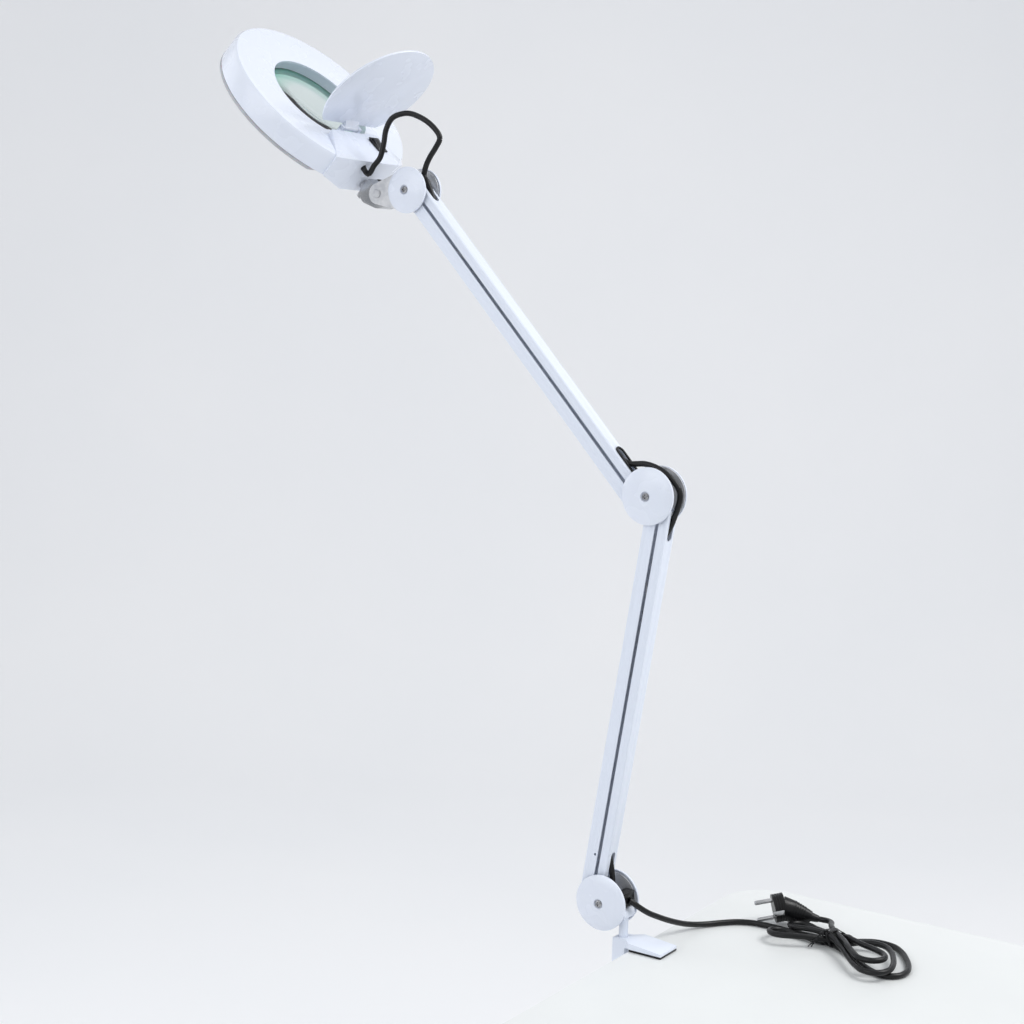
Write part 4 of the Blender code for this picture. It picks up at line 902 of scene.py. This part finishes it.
def relax(points, floor=3.05, fixed=60, rounds=900, clear=6.35, bend=15.0):
    """Eases a cord's points over a fixed number of rounds, against tight bends, stretches touching another and points
    below the desk.
    """
    q, drawn, n = points.copy(), points.copy(), len(points)
    h = np.linalg.norm(np.diff(q, axis=0), axis=1).mean()
    idx = np.arange(n)
    free = np.ones(n)
    free[:fixed] = 0
    free[-3:] = 0
    free[fixed:fixed + 8] = np.linspace(0.1, 1, 8)
    free[-11:-3] = np.linspace(1, 0.1, 8)
    far = np.abs(idx[:, None] - idx[None]) > int(round(16 / h))
    for it in range(rounds):
        gap = q[:, None] - q[None]
        d = np.linalg.norm(gap, axis=2) + 1e-9
        push = np.where(far & (d < clear), (clear - d) / d * 0.3, 0.0)
        away = push[:, :, None] * gap
        away[:, :, 2] *= 1.3
        move = np.clip(away.sum(1), -1.0, 1.0)
        for k, rate in ((1, 0.30), (2, 0.25), (4, 0.20)):
            mid = (q[2 * k:] + q[:-2 * k]) / 2 - q[k:-k]
            sag = np.linalg.norm(mid, axis=1)
            over = np.clip((sag - (k * h) ** 2 / 2 / bend) / (sag + 1e-9), 0, 1)[:, None]
            ease = mid * over * rate
            move[k:-k] += ease
            move[:-2 * k] -= ease / 2
            move[2 * k:] -= ease / 2
        seg = np.diff(q, axis=0)
        length = np.linalg.norm(seg, axis=1)[:, None]
        even = seg / length * (length - length[fixed:].mean()) * 0.3
        move[:-1] += even
        move[1:] -= even
        move[1:-1, 2] += ((q[2:, 2] + q[:-2, 2]) / 2 - q[1:-1, 2]) * 0.2
        move += (drawn - q) * (0.004 if it < rounds - 300 else 0.0)
        q += move * free[:, None]
        q[:, 2] = np.where(free > 0, np.maximum(q[:, 2], floor), q[:, 2])
    return q


route = relax(read_evenly(MAINS + HANK_RUN + LEAD_END, 3.0))
route_line = [Vector(p) for p in route]


def swept(name, look, line, radii, sides=20):
    """A mesh tube along a line, its rings carried along without twist."""
    mesh = bpy.data.meshes.new(name)
    bm = bmesh.new()
    rings, normal = [], Vector((0, 0, 1))
    for i, p in enumerate(line):
        a, b = line[max(0, i - 1)], line[min(len(line) - 1, i + 1)]
        t = (b - a).normalized()
        normal = (normal - t * normal.dot(t)).normalized()
        other = t.cross(normal)
        r = radii[i] if isinstance(radii, list) else radii
        rings.append([bm.verts.new((p + (normal * math.cos(2 * math.pi * k / sides) + other * math.sin(2 * math.pi * k / sides)) * r) * MM)
                      for k in range(sides)])
    for one, two in zip(rings, rings[1:]):
        for k in range(sides):
            bm.faces.new((one[k], one[(k + 1) % sides], two[(k + 1) % sides], two[k]))
    bm.faces.new(list(reversed(rings[0])))
    bm.faces.new(rings[-1])
    bmesh.ops.recalc_face_normals(bm, faces=bm.faces)
    bm.to_mesh(mesh)
    bm.free()
    return place(bpy.data.objects.new(name, mesh), name, look)


swept("mains_cord", "black_rubber", route_line, CABLE_R)

# ---------------------------------------------------------------- plug and tie
PLUG = (63.0, 150.5, 17.2)
GRIP_END = (99.0, 168.5, 11.0)
PLUG_AXIS = Vector((-0.80, -0.58, -0.20)).normalized()      # the pins dip towards the desk
py = Vector((0, 0, 1)).cross(PLUG_AXIS).normalized()
PLUG_FRAME = frame(PLUG, PLUG_AXIS, py, PLUG_AXIS.cross(py))


def ring_points(x, ry, rz, n=64):
    return [(x, ry * math.cos(2 * math.pi * i / n), rz * math.sin(2 * math.pi * i / n)) for i in range(n)]


def in_plug(x, y, z):
    v = PLUG_FRAME @ Vector((x * MM, y * MM, z * MM))
    return (v.x / MM, v.y / MM, v.z / MM)


# the grip leaves the face at an angle, level with the desk
GRIP_FRAME = along(GRIP_END, in_plug(-7, 0, 0))
GRIP_LEN = (Vector(in_plug(-7, 0, 0)) - Vector(GRIP_END)).length


def section(h, rx, ry, n=48):
    return [(rx * math.cos(2 * math.pi * i / n), ry * math.sin(2 * math.pi * i / n), h) for i in range(n)]


body = hull("plug_body", "black_rubber", ring_points(0, 15.2, 15.2) + ring_points(-12, 15.2, 15.2), PLUG_FRAME)
boolean(body, hull("plug_grip", "", section(GRIP_LEN - 2, 13.0, 13.0) + section(GRIP_LEN - 14, 12.0, 10.5) + section(6, 8.0, 7.0) + section(0, 6.0, 5.5), GRIP_FRAME, CUTTERS), "UNION")
boolean(body, hull("plug_relief", "", section(3, 5.4, 5.4  , 32) + section(-8, 3.6, 3.6  , 32), GRIP_FRAME, CUTTERS), "UNION")
for h in (7.5, 10.2, 12.9, 15.6, 18.3):
    rx, ry = 8.0 + (h - 6) * 4.0 / (GRIP_LEN - 20), 7.0 + (h - 6) * 3.5 / (GRIP_LEN - 20)
    boolean(body, hull(f"grip_rib_{h}", "", section(h, rx + 0.55, ry + 0.55) + section(h + 1.2, rx + 0.65, ry + 0.65), GRIP_FRAME, CUTTERS), "UNION")
for x in (-2.6, -5.4, -8.2):
    boolean(body, turned(f"rim_groove_{x}", "", [(17, 1.1), (17, 0), (14.5, 0), (14.5, 1.1)], in_plug(x, 0, 0), in_plug(x - 1, 0, 0), 24, CUTTERS))
for label, z in (("upper", 9.5), ("lower", -9.5)):
    turned(f"plug_pin_{label}", "chrome", [(0, 19.3), (1.6, 19.3), (2.4, 18.2), (2.4, GAP), (0, GAP)],
           in_plug(0, 0, z), in_plug(1, 0, z), 14)
# a springy earth strip bent over the near side of the face
strip = [(3.0, 0), (2.2, 1.2), (-9, 1.2), (-9, 0.2), (1.4, 0.2), (2.0, -0.5)]
earth = plate("plug_earth", "chrome", [[(x, 15.4 + y) for x, y in strip]], 5.0, PLUG_FRAME)

TIE_AT, TIE_DIR = (143.0, 130.5), Vector((0.907, -0.42, 0)).normalized()
TIE_N = Vector((-TIE_DIR.y, TIE_DIR.x, 0))


def bundle_outline(offset, r):
    """A band drawn tight round the stretches of cord that pass the tie, offset mm along it."""
    crossings = []
    for p, q in zip(route_line, route_line[1:]):
        a = (p - Vector((*TIE_AT, 0))).dot(TIE_DIR) - offset
        b = (q - Vector((*TIE_AT, 0))).dot(TIE_DIR) - offset
        if a * b <= 0 and a != b:
            m = p.lerp(q, a / (a - b))
            v = (m - Vector((*TIE_AT, 0))).dot(TIE_N)
            if abs(v) < 20:
                crossings.append((v, m.z))
    pts = [(v + r * math.cos(t), max(0.12, z + r * math.sin(t))) for v, z in crossings for t in [math.pi * k / 12 for k in range(24)]]
    pts = sorted(set(pts))

    def half(seq):
        out = []
        for p in seq:
            while len(out) > 1 and (out[-1][0] - out[-2][0]) * (p[1] - out[-2][1]) - (out[-1][1] - out[-2][1]) * (p[0] - out[-2][0]) <= 0:
                out.pop()
            out.append(p)
        return out[:-1]
    return half(pts) + half(reversed(pts))


def band(offset, width, tilt):
    """A loop of the tie: a rounded strip round the bundle."""
    line = bundle_outline(offset, CABLE_R + 0.75)
    ring = []
    for v, z in line:
        p = Vector((*TIE_AT, 0)) + TIE_DIR * (offset + tilt * v) + TIE_N * v
        ring.append(Vector((p.x, p.y, max(0.8, z))))
    return ring


def closed_tube(bm, ring, r, flat, sides=10):
    rows = []
    n = len(ring)
    for i, p in enumerate(ring):
        t = (ring[(i + 1) % n] - ring[i - 1]).normalized()
        out = t.cross(TIE_DIR).normalized()
        rows.append([bm.verts.new((p + TIE_DIR * flat * math.cos(2 * math.pi * k / sides) + out * r * math.sin(2 * math.pi * k / sides)) * MM)
                     for k in range(sides)])
    for one, two in zip(rows, rows[1:] + rows[:1]):
        for k in range(sides):
            bm.faces.new((one[k], one[(k + 1) % sides], two[(k + 1) % sides], two[k]))


def even_ring(ring, step):
    closed = ring + [ring[0]]
    total = sum((q - p).length for p, q in zip(closed, closed[1:]))
    count = int(total / step)
    out, walked, target = [], 0.0, 0.0
    for p, q in zip(closed, closed[1:]):
        seg = (q - p).length
        while len(out) < count and walked + seg >= target:
            out.append(p.lerp(q, (target - walked) / max(seg, 1e-9)))
            target += total / count
        walked += seg
    return out


tie_mesh = bpy.data.meshes.new("cord_tie")
bm = bmesh.new()
rings = []
for offset, tilt in ((-2.6, 0.10), (0.4, -0.08), (3.0, 0.12)):
    ring = even_ring(band(offset, 2.6, tilt), 0.9)
    rings.append(ring)
    closed_tube(bm, ring, 0.55, 1.35)
bmesh.ops.recalc_face_normals(bm, faces=bm.faces)
bm.to_mesh(tie_mesh)
bm.free()
place(bpy.data.objects.new("cord_tie", tie_mesh), "cord_tie", "black_plastic")
# its two ends are twisted together and lie down beside the bundle
top = max(rings[1], key=lambda p: p.z - 0.35 * (p - Vector((*TIE_AT, 0))).dot(TIE_N))
for i in (0, 1):
    start = top + Vector((0, 0, 0.6))
    out_dir = (-TIE_N * 0.8 - TIE_DIR * 0.35).normalized()
    tail = []
    for k in range(41):
        t = k / 40
        mid = start + out_dir * (19 * t) + Vector((0, 0, 2.2 * math.sin(math.pi * min(1, t * 1.6)) - (start.z - 2.2) * t ** 1.5))
        spin = 2 * math.pi * 2.6 * min(1, t * 1.25) + math.pi * i
        wide = 0.75 + (2.4 * max(0, t - 0.8) / 0.2)
        tail.append(mid + (TIE_DIR * math.cos(spin) + Vector((0, 0, 1)) * math.sin(spin) * (1 if t < 0.8 else 0.3)) * wide)
    tail = [Vector((p.x, p.y, max(0.7, p.z))) for p in tail]
    swept(f"tie_end_{i}", "black_plastic", tail, 0.62, 8)

# ---------------------------------------------------------------- meshes in the shared frame
SOFT_EDGES = {"clamp_frame": 0.5, "upper_jaw_pad": 0.4, "clamp_knob": 0.8, "head_shell": 0.0, "tilt_block": 0.7, "switch_frame": 0.35,
              "switch_rocker": 0.4, "flip_cover": 0.35, "cord_clip": 0.7, "cable_grommet": 0.3, "plug_body": 0.25,
              "lower_outer_channel": 0.25, "lower_inner_channel": 0.25, "upper_outer_channel": 0.25, "upper_inner_channel": 0.25,
              "base_plate_front": 0.3, "base_plate_rear": 0.3, "elbow_plate_front": 0.3, "elbow_plate_rear": 0.3,
              "head_link_plate_front": 0.3, "head_link_plate_rear": 0.3, "swivel_nut": 0.25}
STANDS_FOR = {"elbow_cord_lower": "elbow_cord", "elbow_cord_upper": "elbow_cord", "head_cord_lower": "head_cord",
              "head_cord_middle": "head_cord", "head_cord_upper": "head_cord"}
BENDS = {
    "base_cable": ("base", "lower_inner", (-46, 0, 52), LP(42, 3.8, 0)),
    "elbow_cord_lower": ("lower_inner", "elbow", LP(388, 0, -2), (8.6, 0, 457.0)),
    "elbow_cord_upper": ("elbow", "upper_inner", (-18.8, 0, 496.0), UP(40.0, 1.6, -1.2)),
    "head_cord_lower": ("upper_inner", "head_link", UP(400, 4, 0), (-300, 0, 814)),
    "head_cord_middle": ("head_link", "tilt_block", (-298, 0, 831), (-344.0, -9, 848.0)),
    "head_cord_upper": ("tilt_block", "head", (-355.3, -14, 834.0), (-359, -19, 802)),
    "mains_cord": ("base", "clamp", (-28.6, 0, 46.9), (12, 99, 3.3)),
}


def settle(name, ob):
    """The object's modifiers applied and its place moved into its mesh."""
    width = SOFT_EDGES.get(name, 0)
    if width and ob.type == "MESH":
        bevel = ob.modifiers.new("edges", "BEVEL")
        bevel.width = width * MM
        bevel.segments = 2
        bevel.limit_method = "ANGLE"
        bevel.angle_limit = math.radians(38)
        bevel.use_clamp_overlap = True
    bpy.context.view_layer.update()
    graph = bpy.context.evaluated_depsgraph_get()
    mesh = bpy.data.meshes.new_from_object(ob.evaluated_get(graph))
    look = ob.data.materials[:]
    mesh.transform(ob.matrix_world)
    bm = bmesh.new()
    bm.from_mesh(mesh)
    bmesh.ops.remove_doubles(bm, verts=bm.verts, dist=0.000004)
    bmesh.ops.recalc_face_normals(bm, faces=bm.faces)
    bm.to_mesh(mesh)
    bm.free()
    bpy.data.objects.remove(ob, do_unlink=True)
    new = bpy.data.objects.new("lamp_" + name, mesh)
    PARTS.objects.link(new)
    if not mesh.materials:
        for mat in look:
            mesh.materials.append(mat)
    mesh.shade_smooth()
    mesh.set_sharp_from_angle(angle=math.radians(34))
    return new


bpy.context.view_layer.update()
EXTRA = {"plug_earth": ("clamp", "chrome"), "tie_end_0": ("clamp", "black_plastic"), "tie_end_1": ("clamp", "black_plastic")}
PIECES = {name: settle(name, ob) for name, ob in list(MADE.items())}
for cutter in list(CUTTERS.objects):
    bpy.data.objects.remove(cutter, do_unlink=True)

for name, ob in PIECES.items():
    node = STANDS_FOR.get(name, name)
    if node in BODY_OF:
        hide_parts(node)
        body_name = BODY_OF[node]
    else:
        body_name, slot_name = EXTRA[name]
    if name in BENDS:
        a, b, start, end = BENDS[name]
        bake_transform(ob)
    else:
        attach(ob, body_name)
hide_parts("cord_hank", "plug_lead")

# ---------------------------------------------------------------- desk, room, light and camera
def stage_piece(ob):
    return ob


CORNER, LEFT, BACK = 55.0, -18.65, 255.7
desk_outline = [(LEFT, -1500), (1700, -1500), (1700, BACK)]
desk_outline += [(LEFT + CORNER - CORNER * math.sin(a), BACK - CORNER + CORNER * math.cos(a)) for a in [math.pi / 2 * i / 16 for i in range(17)]]
data = bpy.data.curves.new("desk", "CURVE")
data.dimensions = "2D"
data.fill_mode = "BOTH"
data.extrude = 0.0122
data.bevel_depth = 0.0
spline = data.splines.new("POLY")
spline.points.add(len(desk_outline) - 1)
for point, (x, y) in zip(spline.points, desk_outline):
    point.co = (x * MM, y * MM, 0, 1)
spline.use_cyclic_u = True
desk = bpy.data.objects.new("stage_desk", data)
desk.location = (0, 0, -0.0123)
data.materials.append(finish("desk"))
bpy.context.scene.collection.objects.link(desk)
stage_piece(desk)

room = bmesh.new()
az = math.radians(33.7106)
away = Vector((-math.sin(az), math.cos(az), 0))
side = Vector((math.cos(az), math.sin(az), 0))
profile = [(-6.0, -0.74), (3.2, -0.74)]
profile += [(3.2 + 0.8 * math.sin(a), -0.74 + 0.8 - 0.8 * math.cos(a)) for a in [math.pi / 2 * i / 14 for i in range(1, 15)]]
profile += [(4.0, 6.5)]
rows = []
for d, z in profile:
    rows.append([room.verts.new(away * d + side * s + Vector((0, 0, z))) for s in (-8, 8)])
for one, two in zip(rows, rows[1:]):
    room.faces.new((one[0], one[1], two[1], two[0]))
mesh = bpy.data.meshes.new("stage_room")
room.to_mesh(mesh)
room.free()
mesh.shade_smooth()
backdrop = bpy.data.objects.new("stage_room", mesh)
mesh.materials.append(finish("wall"))
bpy.context.scene.collection.objects.link(backdrop)
stage_piece(backdrop)

world = bpy.data.worlds.new("studio")
bpy.context.scene.world = world
world.use_nodes = True
sky = world.node_tree
where = sky.nodes.new("ShaderNodeTexCoord")
height = sky.nodes.new("ShaderNodeSeparateXYZ")
ramp = sky.nodes.new("ShaderNodeValToRGB")
ramp.color_ramp.elements[0].position = 0.30
ramp.color_ramp.elements[1].position = 0.85
ramp.color_ramp.elements[0].color = (0.55, 0.57, 0.62, 1)
ramp.color_ramp.elements[1].color = (0.96, 0.98, 1.0, 1)
half = sky.nodes.new("ShaderNodeMapRange")
half.inputs["From Min"].default_value = -1.0
sky.links.new(where.outputs["Generated"], height.inputs["Vector"])
sky.links.new(height.outputs["Z"], half.inputs["Value"])
sky.links.new(half.outputs["Result"], ramp.inputs["Fac"])
sky.links.new(ramp.outputs["Color"], sky.nodes["Background"].inputs["Color"])
sky.nodes["Background"].inputs["Strength"].default_value = 0.76
bpy.context.scene.view_settings.view_transform = "Standard"


def area(name, at, to, size, power, colour=(1, 1, 1)):
    light = bpy.data.lights.new(name, "AREA")
    light.shape = "RECTANGLE"
    light.size, light.size_y = size
    light.energy = power
    light.color = colour
    ob = bpy.data.objects.new(name, light)
    at, to = Vector(at), Vector(to)
    ob.matrix_world = Matrix.Translation(at) @ (to - at).to_track_quat("-Z", "Y").to_matrix().to_4x4()
    bpy.context.scene.collection.objects.link(ob)
    return ob


area("key", (1.6, 1.0, 2.4), (0, 0, 0.3), (1.5, 1.5), 44.0)
area("fill", (-0.6, -2.6, 1.5), (-0.1, 0, 0.4), (2.2, 1.6), 17.0, (0.97, 0.98, 1.0))
area("left", (-2.4, -0.6, 1.6), (-0.2, 0, 0.5), (1.4, 1.8), 7.0, (0.95, 0.97, 1.0))

camera = bpy.data.cameras.new("camera")
camera.lens = 62.235
camera.sensor_width = 36
eye = bpy.data.objects.new("camera", camera)
el, roll = math.radians(6.8199), math.radians(1.6559)
right0 = Vector((math.cos(az), math.sin(az), 0))
back = Vector((math.sin(az) * math.cos(el), -math.cos(az) * math.cos(el), math.sin(el)))
up0 = back.cross(right0)
right = right0 * math.cos(roll) + up0 * math.sin(roll)
up = up0 * math.cos(roll) - right0 * math.sin(roll)
m = Matrix.Identity(4)
for i, axis in enumerate((right, up, back)):
    for j in range(3):
        m[j][i] = axis[j]
for j, c in enumerate((0.83841, -1.53890, 0.65677)):
    m[j][3] = c
eye.matrix_world = m
bpy.context.scene.collection.objects.link(eye)
bpy.context.scene.camera = eye
